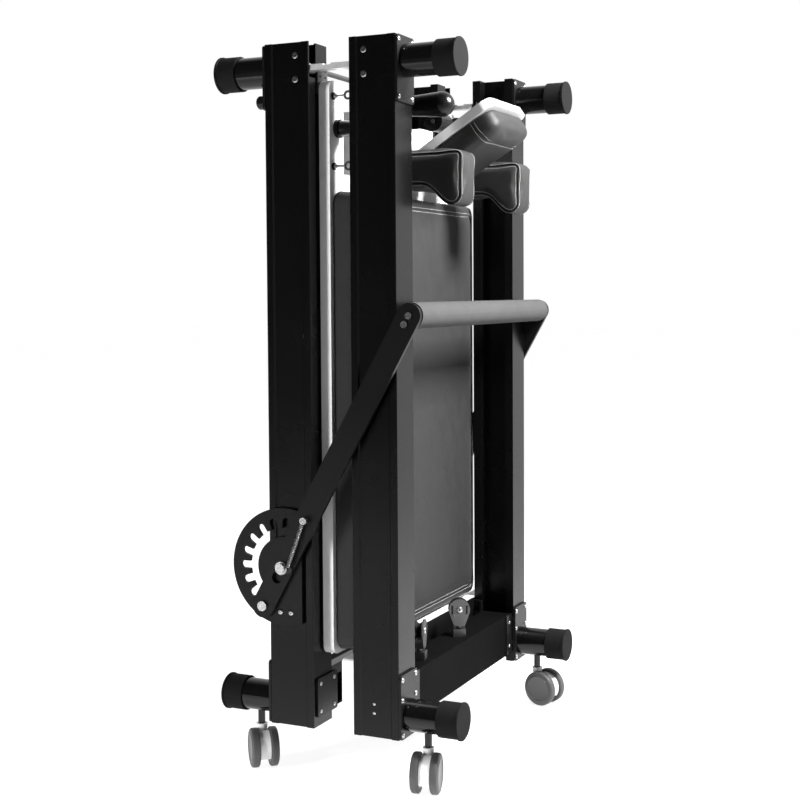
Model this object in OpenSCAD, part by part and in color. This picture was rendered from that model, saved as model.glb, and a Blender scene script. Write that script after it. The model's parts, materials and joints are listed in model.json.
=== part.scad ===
// Folding reformer for pilates, stored folded and standing on its casters.
// +X runs from the foot half to the head half, +Y across the bed, +Z up.
// The origin is on the floor, under the middle of the bounding box's length and width.

/* [Frame] */
// Overall width of the bed across its two rails
bed_w = 670; // [600:5:720]
// Depth of a rail, from the bed side to the leg side
rail_d = 93; // [85:1:105]
// Width of a rail across the bed
rail_w = 72; // [68:1:80]
// Height of the rails' lower ends above the floor
rail_z0 = 95; // [90:1:105]
// Length of each half's rails
rail_l = 1286; // [1250:2:1350]
// Gap between the two folded halves
fold_gap = 84; // [84:1:90]

/* [Legs and casters] */
// Outer diameter of a leg tube
leg_od = 60; // [54:1:64]
// Outer diameter of a rubber leg cap
cap_od = 70; // [66:1:72]
// How far a leg stands out from its rail
leg_out = 114; // [105:1:130]
// Diameter of a caster wheel
wheel_d = 75; // [70:1:75]

/* [Foot bar] */
// Height of the foot bar's pivot above the floor
pivot_z = 399; // [391:1:411]
// Distance from the pivot to the middle of the grip
bar_reach = 545; // [540:1:550]
// Lean of the stored foot bar above the horizontal, in degrees
bar_lean = 60.8; // [60:0.1:61]
// Outer diameter of the foot bar's foam grip
grip_od = 48; // [44:1:48]

/* [Carriage] */
// Half width of the carriage board
board_hw = 302; // [290:1:302]
// Height of the carriage board's lower edge above the floor
board_z0 = 230; // [226:1:236]
// Height of the carriage board's upper edge above the floor
board_z1 = 1313; // [1291:1:1313]
// Thickness of the carriage board
board_t = 22; // [18:1:22]
// Thickness of the leather pad
pad_t = 48; // [40:1:50]

/* [Headrest] */
// Lean of the raised headrest above the horizontal, in degrees
head_lean = 32.9; // [30:0.1:35]
// Length of the headrest board from its hinge
head_l = 274; // [260:1:280]
// Half width of the headrest
head_hw = 101; // [90:1:104]

/* [Hidden] */
$fn = 64;

NEAR = -1;
FAR = 1;
FOOT = -1;
HEAD = 1;

bed_hw = bed_w / 2;
rail_z1 = rail_z0 + rail_l;
rail_x0 = fold_gap / 2;
rail_x1 = rail_x0 + rail_d;
rail_xm = rail_x0 + rail_d / 2;
rail_in = bed_hw - rail_w;
rail_ym = bed_hw - rail_w / 2;
lip = 18;
channel_d = 28;
band_step = 2.5;
wall = 4;
run_gap = 0.05;

plate_t = 5;
plate_l = 120;
plate_low_z = rail_z0 + 60;
plate_top_z = rail_z1 - 61;
knob_z = 1279;
tie_z = rail_z0 + 62;
tie_t = 4;
leg_top_z = rail_z1 - 45;
leg_low_z = rail_z0 + 40;
stem_x = 178;
stem_r = 7;
wheel_r = wheel_d / 2;
wheel_w = 16;
hood_w = 20;
trail = 20;
collar_z = wheel_d - 4;
collar_h = 8;
collar_r = 11;
axle_r = 4;
// The hood is a drum round the axle, open below this height, and a round neck joins it to the collar.
hood_r = 31;
hood_open_z = 21;
neck_h = 27;
stem_z = 58;
// Each caster's half, side and swivel angle
swivels = [[FOOT, NEAR, -49.7], [FOOT, FAR, 150], [HEAD, NEAR, -76.8], [HEAD, FAR, -15.8]];

pin_x = rail_x0 + 6;
pin_z = rail_z1 - pin_x;
link_y0 = board_hw + 5;
link_y1 = bed_hw - 5;
link_t = 11;
eye_r = 9;

pivot_x = -100;
quad_t = 6;
quad_gap = 0.4;
arm_t = 8;
arm_w = 46;
quad_r = 112;
notch_tip_r = 94;
tooth_r = 74;
hub_r = 57;
lock_r = 87;
notch_pitch = 18.7;
pull = 22;
arm_y = bed_hw + quad_t + quad_gap;
arm_out = arm_y + arm_t;
spring_at = 107;

board_x0 = -38;
board_x1 = board_x0 + board_t;
pad_x1 = board_x1 + pad_t;
pad_hw = 293;
pad_z0 = 238;
pad_z1 = 1106;
prong_in = 246;
tab_hw = 208;
tab_z = 1264;
slot_z = 1141;
roller_r = 28.2;
frame_zs = [321, 1031];

rest_y = 155;
rest_z = 1132;
rest_x1 = 208;
peg_y = 270;
peg_z = 1225;
hook_y = 288;
hook_zs = [1284, 1153];
grip_y = 190;
grip_z = 1269;
grip_x1 = 188;
ball_r = 24;

head_x = -10;
head_z = 1142.4;
head_t = 18;
head_pad_t = 44;
prop_s = 152;
prop_out = 33;

beam_z0 = 113;
beam_z1 = 202;
beam_x0 = 62;
beam_x1 = 128;
platform_t = 25;
platform_hw = 332;
platform_z1 = 234;

spring_x = -51;
spring_z = 197;
spring_pitch = 70;

pulley_x = 100;
pulley_h = 40;
pulley_lift = 16.3;
// Each pulley's place across the bed and the angle that it faces
pulleys = [[-165, 12], [35, -62]];

// Repeats its children on both sides of the bed.
module both_sides() {
    children();
    mirror([0, 1, 0]) children();
}

// Turns its children from the head half's side to the side asked for.
module on_side(x_side, y_side) {
    mirror([x_side < 0 ? 1 : 0, 0, 0]) mirror([0, y_side < 0 ? 1 : 0, 0]) children();
}

// A solid outline in X and Z, drawn out along Y from y0 to y1.
module slab_y(y0, y1) {
    translate([0, y1, 0]) rotate([90, 0, 0]) linear_extrude(y1 - y0) children();
}

// A rod along Y.
module rod_y(x, y0, y1, z, r) {
    translate([x, y1, z]) rotate([90, 0, 0]) cylinder(h = y1 - y0, r = r);
}

// A rod along X.
module rod_x(x0, x1, y, z, r) {
    translate([x0, y, z]) rotate([0, 90, 0]) cylinder(h = x1 - x0, r = r);
}

// A box from one corner to the other.
module span(low, high) {
    translate(low) cube(high - low);
}

// A flat rectangle with four round corners.
module round_rect(low, high, r) {
    translate([low[0] + r, low[1]]) square([high[0] - low[0] - 2 * r, high[1] - low[1]]);
    translate([low[0], low[1] + r]) square([high[0] - low[0], high[1] - low[1] - 2 * r]);
    for (x = [low[0] + r, high[0] - r], y = [low[1] + r, high[1] - r]) translate([x, y]) circle(r);
}

// ---- Rails ----

// Section of a rail of the head half's far side: X across its depth, Y across its width.
module rail_section() {
    chamfer = 1;
    band_low = rail_x0 + 0.18 * rail_d;
    band_high = rail_x1 - 0.18 * rail_d;
    difference() {
        polygon([[rail_x0, rail_in], [rail_x1, rail_in], [rail_x1, bed_hw - chamfer],
                 [rail_x1 - chamfer, bed_hw], [band_high + band_step, bed_hw],
                 [band_high, bed_hw - band_step], [band_low, bed_hw - band_step],
                 [band_low - band_step, bed_hw], [rail_x0 + chamfer, bed_hw],
                 [rail_x0, bed_hw - chamfer]]);
        translate([rail_x0 + lip, rail_in - 1]) square([rail_d - 2 * lip, channel_d + 1]);
        translate([rail_x0 + wall, rail_in + channel_d + wall])
            square([rail_d - 2 * wall, rail_w - channel_d - 2 * wall - band_step]);
    }
}

// One rail, with the pocket at its upper end that the fold link swings into.
module rail(x_side, y_side) {
    on_side(x_side, y_side) difference() {
        translate([0, 0, rail_z0]) linear_extrude(rail_l) rail_section();
        span([rail_x0 - 1, link_y0 - 1.5, pin_z - eye_r - 8], [pin_x + eye_r + 2, link_y1 + 1, rail_z1 + 1]);
        rod_y(pin_x, rail_in - 1, bed_hw - wall - 1, pin_z, 5 + run_gap);
    }
}

module foot_rail_near() { color("#101011") rail(FOOT, NEAR); }
module foot_rail_far() { color("#101011") rail(FOOT, FAR); }
module head_rail_near() { color("#101011") rail(HEAD, NEAR); }
module head_rail_far() { color("#101011") rail(HEAD, FAR); }

// ---- Beams at the lower ends ----

module head_end_beam() {
    color("#161617") difference() {
        span([beam_x0, -rail_in, beam_z0], [beam_x1, rail_in, beam_z1]);
        span([beam_x0 - 1, -rail_in + 8, beam_z0 + wall], [beam_x1 - wall, rail_in - 8, beam_z1 - wall]);
    }
}

module foot_end_beam() {
    color("#161617") difference() {
        span([-beam_x1, -rail_in, beam_z0 - 10], [-beam_x0, rail_in, beam_z1 - 30]);
        span([-beam_x1 + wall, -rail_in + 8, beam_z0 - 10 + wall],
             [-beam_x0 + 1, rail_in - 8, beam_z1 - 30 - wall]);
    }
}

// White board at the head end that the user stands on.
module platform_board() {
    color("#e6e6e6") difference() {
        translate([rail_x0 - platform_t, 0, 0]) rotate([90, 0, 90]) linear_extrude(platform_t)
            round_rect([-platform_hw, rail_z0 - 2], [platform_hw, platform_z1], 6);
        for (y = [-rail_ym, rail_ym], z = [platform_z1 - 113, platform_z1 - 21])
            rod_x(rail_x0 - platform_t - 1, rail_x0 + 1, y, z, 3);
    }
}

// Bar that the resistance springs hook onto.
module spring_bar() {
    color("#5a5a5c") difference() {
        span([spring_x - 11, -rail_in, spring_z - 20], [-rail_x0, rail_in, spring_z]);
        for (i = [-2:2]) translate([spring_x, i * spring_pitch, spring_z - 21]) cylinder(h = 22, r = 4);
    }
}

// ---- Leg plates, legs and caps ----

// Places of the screws of a leg plate from its middle; a lower plate has a third row.
function plate_holes(low) = [for (y = [-29, 29], z = low ? [-51, 13, 51] : [-51, 51]) [y, z]];

// One leg plate on the leg side of a rail, centred at z.
module leg_plate(z, low) {
    translate([rail_x1, rail_ym, z]) rotate([90, 0, 90]) difference() {
        linear_extrude(plate_t) round_rect([-rail_w / 2, -plate_l / 2], [rail_w / 2, plate_l / 2], 6);
        for (p = plate_holes(low)) translate([p[0], p[1], -1]) cylinder(h = plate_t + 2, r = 3.2);
    }
}

module half_plates(x_side) {
    for (y_side = [NEAR, FAR]) on_side(x_side, y_side) {
        leg_plate(plate_low_z, true);
        leg_plate(plate_top_z, false);
    }
}

module foot_plates() {
    color("#1c1c1d") {
        half_plates(FOOT);
        both_sides() translate([-rail_x0, rail_ym, tie_z]) rotate([90, 0, 90])
            linear_extrude(tie_t) round_rect([-52, -44], [26, 30], 4);
    }
}

module head_plates() { color("#1c1c1d") half_plates(HEAD); }

// A leg: a tube from its plate into the cap.
module leg(z) {
    x0 = rail_x1 + plate_t;
    difference() {
        rod_x(x0, rail_x1 + leg_out - 6, rail_ym, z, leg_od / 2);
        rod_x(x0 + 4, rail_x1 + leg_out, rail_ym, z, leg_od / 2 - 3);
    }
}

// The stem that a caster turns on, fixed under a lower leg.
module caster_stem() {
    translate([stem_x, rail_ym, stem_z]) cylinder(h = leg_low_z - leg_od / 2 + 2 - stem_z, r = stem_r);
}

module half_legs(x_side) {
    for (y_side = [NEAR, FAR]) on_side(x_side, y_side) {
        leg(leg_top_z);
        union() {
            leg(leg_low_z);
            caster_stem();
        }
    }
}

module foot_legs() { color("#0c0c0d") half_legs(FOOT); }
module head_legs() { color("#0c0c0d") half_legs(HEAD); }

// A rubber cap: a cup turned round the leg's end.
module leg_cap(z) {
    depth = 44;
    body_r = cap_od / 2 - 1.6;
    x1 = rail_x1 + leg_out;
    translate([x1 - depth, rail_ym, z]) rotate([0, 90, 0]) rotate_extrude()
        polygon([[leg_od / 2, 0], [body_r - 1, 0], [body_r, 1], [body_r, depth - 5], [cap_od / 2, depth - 4],
                 [cap_od / 2, depth - 0.8], [cap_od / 2 - 0.8, depth], [0, depth], [0, depth - 6],
                 [leg_od / 2, depth - 6]]);
}

module half_caps(x_side) {
    for (y_side = [NEAR, FAR], z = [leg_low_z, leg_top_z]) on_side(x_side, y_side) leg_cap(z);
}

module foot_leg_caps() { color("#232324") half_caps(FOOT); }

module head_leg_caps() {
    color("#232324") {
        half_caps(HEAD);
        both_sides() translate([rail_x0 + 24, rail_ym, rail_z0 - 6]) cylinder(h = 6, r = 14);
    }
}

// Knob on the foot half that holds the carriage while the bed is moved.
module foot_knob() {
    color("#141415") translate([-rail_x1 - plate_t, -rail_ym, knob_z])
        rotate([0, -90, 0]) rotate_extrude()
            polygon([[0, 0], [10, 0], [10, 8], [13, 10], [13, 26], [11, 29], [0, 30]]);
}

// ---- Casters ----

// Puts its children at a caster's stem, turned by its swivel angle, with +X as the trail.
module at_caster(i) {
    s = swivels[i];
    translate([s[0] * stem_x, s[1] * rail_ym, 0]) rotate([0, 0, s[2]]) children();
}

module caster_fork(i) {
    color("#c9cacc") at_caster(i) difference() {
        union() {
            difference() {
                rod_y(trail, -hood_w / 2, hood_w / 2, wheel_r, hood_r);
                span([-2 * hood_r, -hood_w, 0], [2 * hood_r + trail, hood_w, hood_open_z]);
            }
            translate([0, 0, collar_z + 1 - neck_h]) cylinder(h = neck_h, r = hood_w / 2 - 0.1);
            translate([0, 0, collar_z]) cylinder(h = collar_h, r = collar_r);
        }
        translate([0, 0, stem_z - 2]) cylinder(h = wheel_r, r = stem_r + run_gap);
        rod_y(trail, -hood_w, hood_w, wheel_r, axle_r + run_gap);
    }
}

module caster_wheels(i) {
    inner = hood_w / 2 + 0.8;
    color("#4a4a4c") at_caster(i) translate([trail, 0, wheel_r]) rotate([90, 0, 0]) {
        translate([0, 0, -inner - axle_r]) cylinder(h = 2 * (inner + axle_r), r = axle_r);
        for (m = [0, 1]) mirror([0, 0, m]) translate([0, 0, inner]) rotate_extrude()
            polygon([[0, 0], [wheel_r - 2, 0], [wheel_r, 2], [wheel_r, wheel_w - 4],
                     [wheel_r - 3, wheel_w - 1], [wheel_r - 7, wheel_w], [0, wheel_w]]);
    }
}

module caster_fork_fn() { caster_fork(0); }
module caster_fork_ff() { caster_fork(1); }
module caster_fork_hn() { caster_fork(2); }
module caster_fork_hf() { caster_fork(3); }
module caster_wheels_fn() { caster_wheels(0); }
module caster_wheels_ff() { caster_wheels(1); }
module caster_wheels_hn() { caster_wheels(2); }
module caster_wheels_hf() { caster_wheels(3); }

// ---- Fold hinge ----

// Leaf screwed on a rail's lip below the pin.
module hinge_leaf(x_side) {
    both_sides() on_side(x_side, FAR) difference() {
        span([rail_x0 - 3, rail_in + 2, pin_z - 45], [rail_x0, link_y0 - 4, pin_z - 2]);
        for (y = [rail_in + 11, link_y0 - 13], z = [pin_z - 12, pin_z - 36])
            rod_x(rail_x0 - 4, rail_x0 + 1, y, z, 2.5);
    }
}

module foot_hinge_leaves() { color("#2b2b2d") hinge_leaf(FOOT); }
module head_hinge_leaves() { color("#2b2b2d") hinge_leaf(HEAD); }

// Shaft across the foot half that both near and far links turn on.
module fold_shaft() {
    color("#3a3a3c") rod_y(-pin_x, -bed_hw + wall + 2, bed_hw - wall - 2, pin_z, 5);
}

module head_hinge_pins() {
    color("#8a8b8d") both_sides() rod_y(pin_x, rail_in + 12, bed_hw - wall - 2, pin_z, 5);
}

// A link with an eye at each end and a step in its upper face.
module fold_link() {
    slab_y(link_y0, link_y1) difference() {
        union() {
            translate([-pin_x, pin_z - link_t / 2]) square([2 * pin_x, link_t]);
            for (x = [-pin_x, pin_x]) translate([x, pin_z]) circle(eye_r);
        }
        translate([-14, pin_z + link_t / 2 - 2.5]) square([16, 5]);
        for (x = [-pin_x, pin_x]) translate([x, pin_z]) circle(5 + run_gap);
    }
}

module hinge_links() { color("#c4c5c7") both_sides() fold_link(); }

// ---- Foot bar ----

// Puts its children at the foot bar's pivot in the X and Z plane, with +X along the arm.
module along_arm() {
    translate([pivot_x, pivot_z]) rotate(bar_lean) children();
}

// Toothed sector: the hub disc, the notched rim and the part that is screwed on the rail.
module quadrant_outline() {
    notch_r = 7;
    translate([pivot_x, pivot_z]) difference() {
        union() {
            circle(quad_r);
            translate([-8, -quad_r + 8]) square([44, quad_r]);
            polygon([[0, 0], [-84, -74], [-46, -100], [0, -100]]);
        }
        difference() {
            intersection() {
                circle(tooth_r);
                polygon([[0, 0], [38, 200], [-300, 200], [-300, -190], [-104, -190]]);
            }
            circle(hub_r);
        }
        for (i = [0:8]) rotate(87 + i * notch_pitch) {
            translate([tooth_r - 4, -notch_r]) square([notch_tip_r - notch_r - tooth_r + 4, 2 * notch_r]);
            translate([notch_tip_r - notch_r, 0]) circle(notch_r);
        }
        translate([38, -quad_r - 1]) square([100, 2 * quad_r + 2]);
        for (x = [-9, 14]) translate([x, -86]) circle(3.2);
    }
}

module quadrant(y_side) {
    color("#1f1f20") on_side(HEAD, y_side) difference() {
        slab_y(bed_hw, bed_hw + quad_t) quadrant_outline();
        rod_y(pivot_x, bed_hw - 1, bed_hw + 20, pivot_z, 6);
    }
}

module quadrant_near() { quadrant(NEAR); }
module quadrant_far() { quadrant(FAR); }

// Pivot bolts with their washers and heads.
module foot_bar_pivots() {
    color("#a9aaac") both_sides() {
        rod_y(pivot_x, bed_hw, arm_out + 3, pivot_z, 6);
        rod_y(pivot_x, arm_out + 2.8, arm_out + 4.6, pivot_z, 12.5);
        rod_y(pivot_x, arm_out + 4.6, arm_out + 10, pivot_z, 9.5);
    }
}

// Bush that slides in the arm's slot and turns on the pivot bolt, with the ear that holds the spring.
module pivot_bushes() {
    bush_r = 10.9;
    color("#6b6c6e") both_sides() difference() {
        union() {
            rod_y(pivot_x, arm_y + 0.3, arm_out + 0.6, pivot_z, bush_r);
            slab_y(arm_out + 0.5, arm_out + 2.5) hull() {
                translate([pivot_x, pivot_z]) circle(12.5);
                translate([pivot_x + 16, pivot_z - 2]) circle(7);
            }
        }
        rod_y(pivot_x, arm_y, arm_out + 3, pivot_z, 6 + run_gap);
    }
}

// Arm: a flat bar with round ends, the pivot slot and holes for its pins.
module foot_bar_arm(y_side) {
    color("#131314") on_side(HEAD, y_side) slab_y(arm_y, arm_out) along_arm() difference() {
        union() {
            translate([-lock_r, -arm_w / 2]) square([lock_r + bar_reach, arm_w]);
            translate([-lock_r, 0]) circle(arm_w / 2);
            translate([bar_reach, 0]) circle(arm_w / 2);
        }
        translate([-pull - 0.5, -11]) square([pull + 0.5, 22]);
        circle(11);
        translate([-pull - 0.5, 0]) circle(11);
        translate([-lock_r, 0]) circle(6);
        translate([spring_at, 0]) circle(4);
        translate([bar_reach, 0]) circle(4);
        translate([bar_reach - 18, 0]) circle(4);
    }
}

module foot_bar_arm_near() { foot_bar_arm(NEAR); }
module foot_bar_arm_far() { foot_bar_arm(FAR); }

function along(d) = [pivot_x + d * cos(bar_lean), pivot_z + d * sin(bar_lean)];
bar_at = along(bar_reach);

module foot_bar_tube() {
    color("#77787a") difference() {
        rod_y(bar_at[0], -arm_y, arm_y, bar_at[1], 16);
        rod_y(bar_at[0], -arm_y + 12, arm_y - 12, bar_at[1], 13);
        both_sides() rod_y(bar_at[0], arm_y - 20, arm_y + 1, bar_at[1], 4);
    }
}

module foot_bar_grip() {
    color("#6a6b6d") difference() {
        rod_y(bar_at[0], -arm_y + 3, arm_y - 3, bar_at[1], grip_od / 2);
        rod_y(bar_at[0], -arm_y, arm_y, bar_at[1], 16);
    }
}

// Lock pins, grip bolts and spring bolts of both arms.
module foot_bar_fasteners() {
    color("#b4b5b7") both_sides() {
        for (d = [bar_reach - 18, spring_at]) rod_y(along(d)[0], arm_y + 0.5, arm_out, along(d)[1], 4);
        rod_y(bar_at[0], arm_y - 10, arm_out, bar_at[1], 4);
        for (d = [bar_reach, bar_reach - 18]) rod_y(along(d)[0], arm_out, arm_out + 3, along(d)[1], 6.5);
        rod_y(along(spring_at)[0], arm_out, arm_out + 12, along(spring_at)[1], 7);
        rod_y(along(-lock_r)[0], arm_y, arm_out, along(-lock_r)[1], 6);
        rod_y(along(-lock_r)[0], arm_out, arm_out + 5, along(-lock_r)[1], 9.5);
    }
}

// Return springs, as plain rods between the spring bolt and the pivot's ear.
module foot_bar_springs() {
    low = [pivot_x + 17, pivot_z + 4];
    high = along(spring_at - 7.5);
    tilt = atan2(high[1] - low[1], high[0] - low[0]);
    reach = norm(high - low);
    color("#9c9da0") both_sides() translate([low[0], arm_out + 7.6, low[1]]) rotate([0, -tilt, 0])
        rotate([0, 90, 0]) cylinder(h = reach, r = 4.5);
}

// ---- Carriage ----

module board_outline() {
    r = 18;
    difference() {
        round_rect([-board_hw, board_z0], [board_hw, board_z1], r);
        for (s = [-1, 1]) translate([s * (tab_hw + prong_in) / 2, slot_z + 200])
            square([prong_in - tab_hw, 400], center = true);
        translate([-tab_hw - 1, tab_z]) square([2 * tab_hw + 2, 100]);
        polygon([[-113, tab_z + 1], [-50, tab_z - 16], [50, tab_z - 16], [113, tab_z + 1]]);
    }
}

module carriage_board() {
    color("#dcdcdc") difference() {
        translate([board_x0, 0, 0]) rotate([90, 0, 90]) linear_extrude(board_t) board_outline();
        for (y = [-peg_y, peg_y]) rod_x(board_x0 - 1, board_x1 + 1, y, peg_z, 5);
        for (y = [-hook_y, hook_y], z = hook_zs) rod_x(board_x0 + 8, board_x1 + 1, y, z, 3);
        for (y = [-rest_y, rest_y]) rod_x(board_x0 - 1, board_x1 + 1, y, rest_z, 8);
    }
}

// Leather pad on the board, with round ends.
module carriage_pad() {
    color("#2f2f30") translate([board_x1, 0, 0]) rotate([90, 0, 90]) linear_extrude(pad_t)
        round_rect([-pad_hw, pad_z0], [pad_hw, pad_z1], 30);
}

// Steel cross bars under the board with the roller axles.
module carriage_frame() {
    color("#4c4d4f") for (z = frame_zs) union() {
        span([-64, -256, z - 20], [board_x0, 256, z + 20]);
        both_sides() span([-106, 250, z - 20], [board_x0, 256, z + 20]);
        both_sides() rod_y(-rail_xm, 252, 289, z, 8);
    }
}

module roller_pair(z) {
    color("#606164") both_sides() difference() {
        rod_y(-rail_xm, 266, 289, z, roller_r);
        rod_y(-rail_xm, 265, 290, z, 8 + run_gap);
    }
}

module carriage_rollers_upper() { roller_pair(frame_zs[1]); }
module carriage_rollers_lower() { roller_pair(frame_zs[0]); }

// Rope eyelets with their hooks, the black pegs, the shoulder rests' posts and the headrest's pin.
module carriage_fittings() {
    color("#3c3d3f") {
        for (y = [-hook_y, hook_y], z = hook_zs) {
            rod_x(board_x1, board_x1 + 4, y, z, 7);
            rod_x(board_x1 + 4, board_x1 + 26, y, z, 2.5);
            difference() {
                rod_y(board_x1 + 32, y - 2.5, y + 2.5, z, 9);
                rod_y(board_x1 + 32, y - 3, y + 3, z, 4.5);
            }
        }
        for (y = [-peg_y, peg_y]) {
            rod_x(board_x0, board_x1, y, peg_z, 5);
            rod_x(board_x1, board_x1 + 46, y, peg_z, 17.5);
        }
        for (y = [-rest_y, rest_y]) rod_x(board_x0, 60, y, rest_z, 8);
        union() {
            rod_y(head_x, -head_hw - 8, head_hw + 8, head_z, 4);
            both_sides() span([board_x1, head_hw + 2, head_z - 8], [head_x + 6, head_hw + 8, head_z + 8]);
        }
    }
}

// Tapered grips with ball ends, on flat steel brackets.
module carriage_grips() {
    x0 = board_x1 + 5;
    reach = grip_x1 - ball_r - x0;
    color("#1a1a1b") both_sides() {
        span([board_x1, grip_y - 17, grip_z - 66], [x0, grip_y + 17, grip_z + 17]);
        translate([x0, grip_y, grip_z]) rotate([0, 90, 0]) rotate_extrude() {
            polygon([[0, 0], [13, 0], [15, 60], [ball_r, reach], [0, reach]]);
            intersection() {
                translate([0, reach]) circle(ball_r);
                translate([0, reach]) square(ball_r);
            }
        }
    }
}

// Shoulder rest: side outline in X and Z, narrow at the neck and deep at its end.
module shoulder_outline() {
    hull() {
        translate([rest_x1 - 16, rest_z + 39]) circle(16);
        translate([rest_x1 - 24, rest_z - 31]) circle(24);
        translate([80, rest_z + 25]) square([20, 30]);
        translate([130, rest_z - 18]) square(30);
    }
    translate([pad_x1 - 20, rest_z - 18]) square([130, 72]);
}

module shoulder_rest(y_side) {
    color("#242425") on_side(HEAD, y_side) difference() {
        slab_y(rest_y - 38, rest_y + 38) shoulder_outline();
        span([0, 0, rest_z - 100], [pad_x1 + 1, 300, rest_z + 100]);
        rod_x(0, 60, rest_y, rest_z, 8);
    }
}

module shoulder_rest_near() { shoulder_rest(NEAR); }
module shoulder_rest_far() { shoulder_rest(FAR); }

// ---- Headrest ----

// Puts its children at the headrest's hinge, with +Z along the board and -X as its back.
module at_headrest() {
    translate([head_x, 0, head_z]) rotate([0, 90 - head_lean, 0]) children();
}

module headrest_board() {
    color("#dcdcdc") at_headrest() difference() {
        rotate([90, 0, 90]) linear_extrude(head_t)
            round_rect([-head_hw, 0], [head_hw, head_l], 24);
        rod_y(0, -head_hw - 1, head_hw + 1, 0, 4 + run_gap);
    }
}

module headrest_pad() {
    color("#2c2c2d") at_headrest() translate([head_t, 0, 0]) rotate([90, 0, 90])
        linear_extrude(head_pad_t) round_rect([-head_hw + 3, 32], [head_hw - 3, head_l - 8], 22);
}

// Two arms on the back of the board that hold the roller's rod.
module headrest_prop() {
    color("#303032") at_headrest() {
        for (y = [-28, 28]) span([-prop_out - 8, y - 2.5, prop_s - 12], [0, y + 2.5, prop_s + 12]);
        rod_y(-prop_out, -88, 88, prop_s, 4);
    }
}

module headrest_roller() {
    color("#1b1b1c") at_headrest() both_sides() difference() {
        rod_y(-prop_out, 32, 86, prop_s, 19.5);
        rod_y(-prop_out, 31, 87, prop_s, 4 + run_gap);
    }
}

// ---- Springs ----

module resistance_springs() {
    reach = frame_zs[0] - 21 - spring_z - 1;
    color("#8f9092") for (i = [-2:2]) translate([spring_x, i * spring_pitch, spring_z + 1])
        cylinder(h = reach, r = 9);
}

// ---- Pulleys ----

// Puts its children at a pulley's post, turned about the vertical by its swivel angle.
module at_pulley(i) {
    p = pulleys[i];
    translate([pulley_x, p[0], beam_z1]) rotate([0, 0, p[1]]) children();
}

module pulley_posts() {
    color("#909194") for (i = [0, 1]) at_pulley(i) union() {
        translate([-13, -13, 0]) cube([26, 26, 16]);
        translate([0, 0, 16]) cylinder(h = 10, r = 5);
    }
}

// Teardrop side plate of a pulley block, as an outline in Y and Z.
module teardrop() {
    difference() {
        hull() {
            translate([0, pulley_h]) circle(22);
            translate([-11, 6]) square([22, 6]);
        }
        for (s = [-1, 1]) translate([s * 15, pulley_h]) square([4, 18], center = true);
        translate([0, pulley_h]) circle(4);
    }
}

module pulley_block(i) {
    color("#b9babc") at_pulley(i) translate([0, 0, pulley_lift]) difference() {
        union() {
            for (x = [-11, 8]) translate([x, 0, 0]) rotate([90, 0, 90]) linear_extrude(3) teardrop();
            translate([-11, -11, 6]) cube([22, 22, 12]);
        }
        translate([0, 0, -1]) cylinder(h = 11.2, r = 5 + run_gap);
    }
}

module pulley_sheave(i) {
    color("#2a2a2b") at_pulley(i) translate([0, 0, pulley_lift + pulley_h]) rotate([0, 90, 0])
        rotate_extrude() polygon([[0, -13], [3.95, -13], [3.95, -7.5], [19, -7.5], [14, -2], [14, 2],
                                  [19, 7.5], [3.95, 7.5], [3.95, 13], [0, 13]]);
}

module pulley_block_near() { pulley_block(0); }
module pulley_block_far() { pulley_block(1); }
module pulley_sheave_near() { pulley_sheave(0); }
module pulley_sheave_far() { pulley_sheave(1); }

// ---- Brackets and screws ----

// Angle brackets between the head beam and the rails.
module head_corner_brackets() {
    color("#121213") both_sides() {
        difference() {
            span([rail_x0 + 2, rail_in - 12, rail_z0 + 2], [beam_x0, rail_in, beam_z1 + 24]);
            span([rail_x0 + 1, rail_in - 13, beam_z1], [beam_x0 - 5, rail_in - 5, beam_z1 + 25]);
        }
        span([beam_x1, rail_in - 30, beam_z0 + 3], [beam_x1 + 3, rail_in, beam_z1]);
    }
}

// A screw head: a low dome on the face at its seat, looking along +Z.
module screw(r) {
    rotate_extrude() polygon([[0, 0], [r, 0], [r, 0.35 * r], [0.7 * r, 0.7 * r], [0, 0.7 * r]]);
}

// Screws of one half: leg plates and the rails' outer faces.
module half_screws(x_side) {
    for (y_side = [NEAR, FAR]) on_side(x_side, y_side) {
        for (low = [true, false], p = plate_holes(low))
            translate([rail_x1 + plate_t, rail_ym + p[0], (low ? plate_low_z : plate_top_z) + p[1]])
                rotate([0, 90, 0]) screw(5);
        for (z = [24, 68]) translate([rail_x0 + 29, bed_hw - band_step, rail_z1 - z]) rotate([-90, 0, 0])
            screw(6.5);
    }
}

module foot_screws() {
    color("#c2c3c5") {
        half_screws(FOOT);
        both_sides() {
            for (x = [-9, 14]) translate([pivot_x + x, bed_hw + quad_t, pivot_z - 86])
                rotate([-90, 0, 0]) screw(5);
            for (y = [-14, 39], z = [-34, 19]) translate([-rail_x0 + tie_t, rail_ym - y, tie_z + z])
                rotate([0, 90, 0]) screw(4);
        }
    }
}

module head_screws() {
    color("#c2c3c5") {
        half_screws(HEAD);
        both_sides() {
            for (z = [45, 62]) translate([rail_x0 + 42, bed_hw - band_step, rail_z0 + z])
                rotate([-90, 0, 0]) screw(3);
            for (z = [beam_z0 + 20, beam_z1 - 17]) translate([beam_x1 + 3, rail_in - 14, z])
                rotate([0, 90, 0]) screw(4);
        }
    }
}

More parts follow.
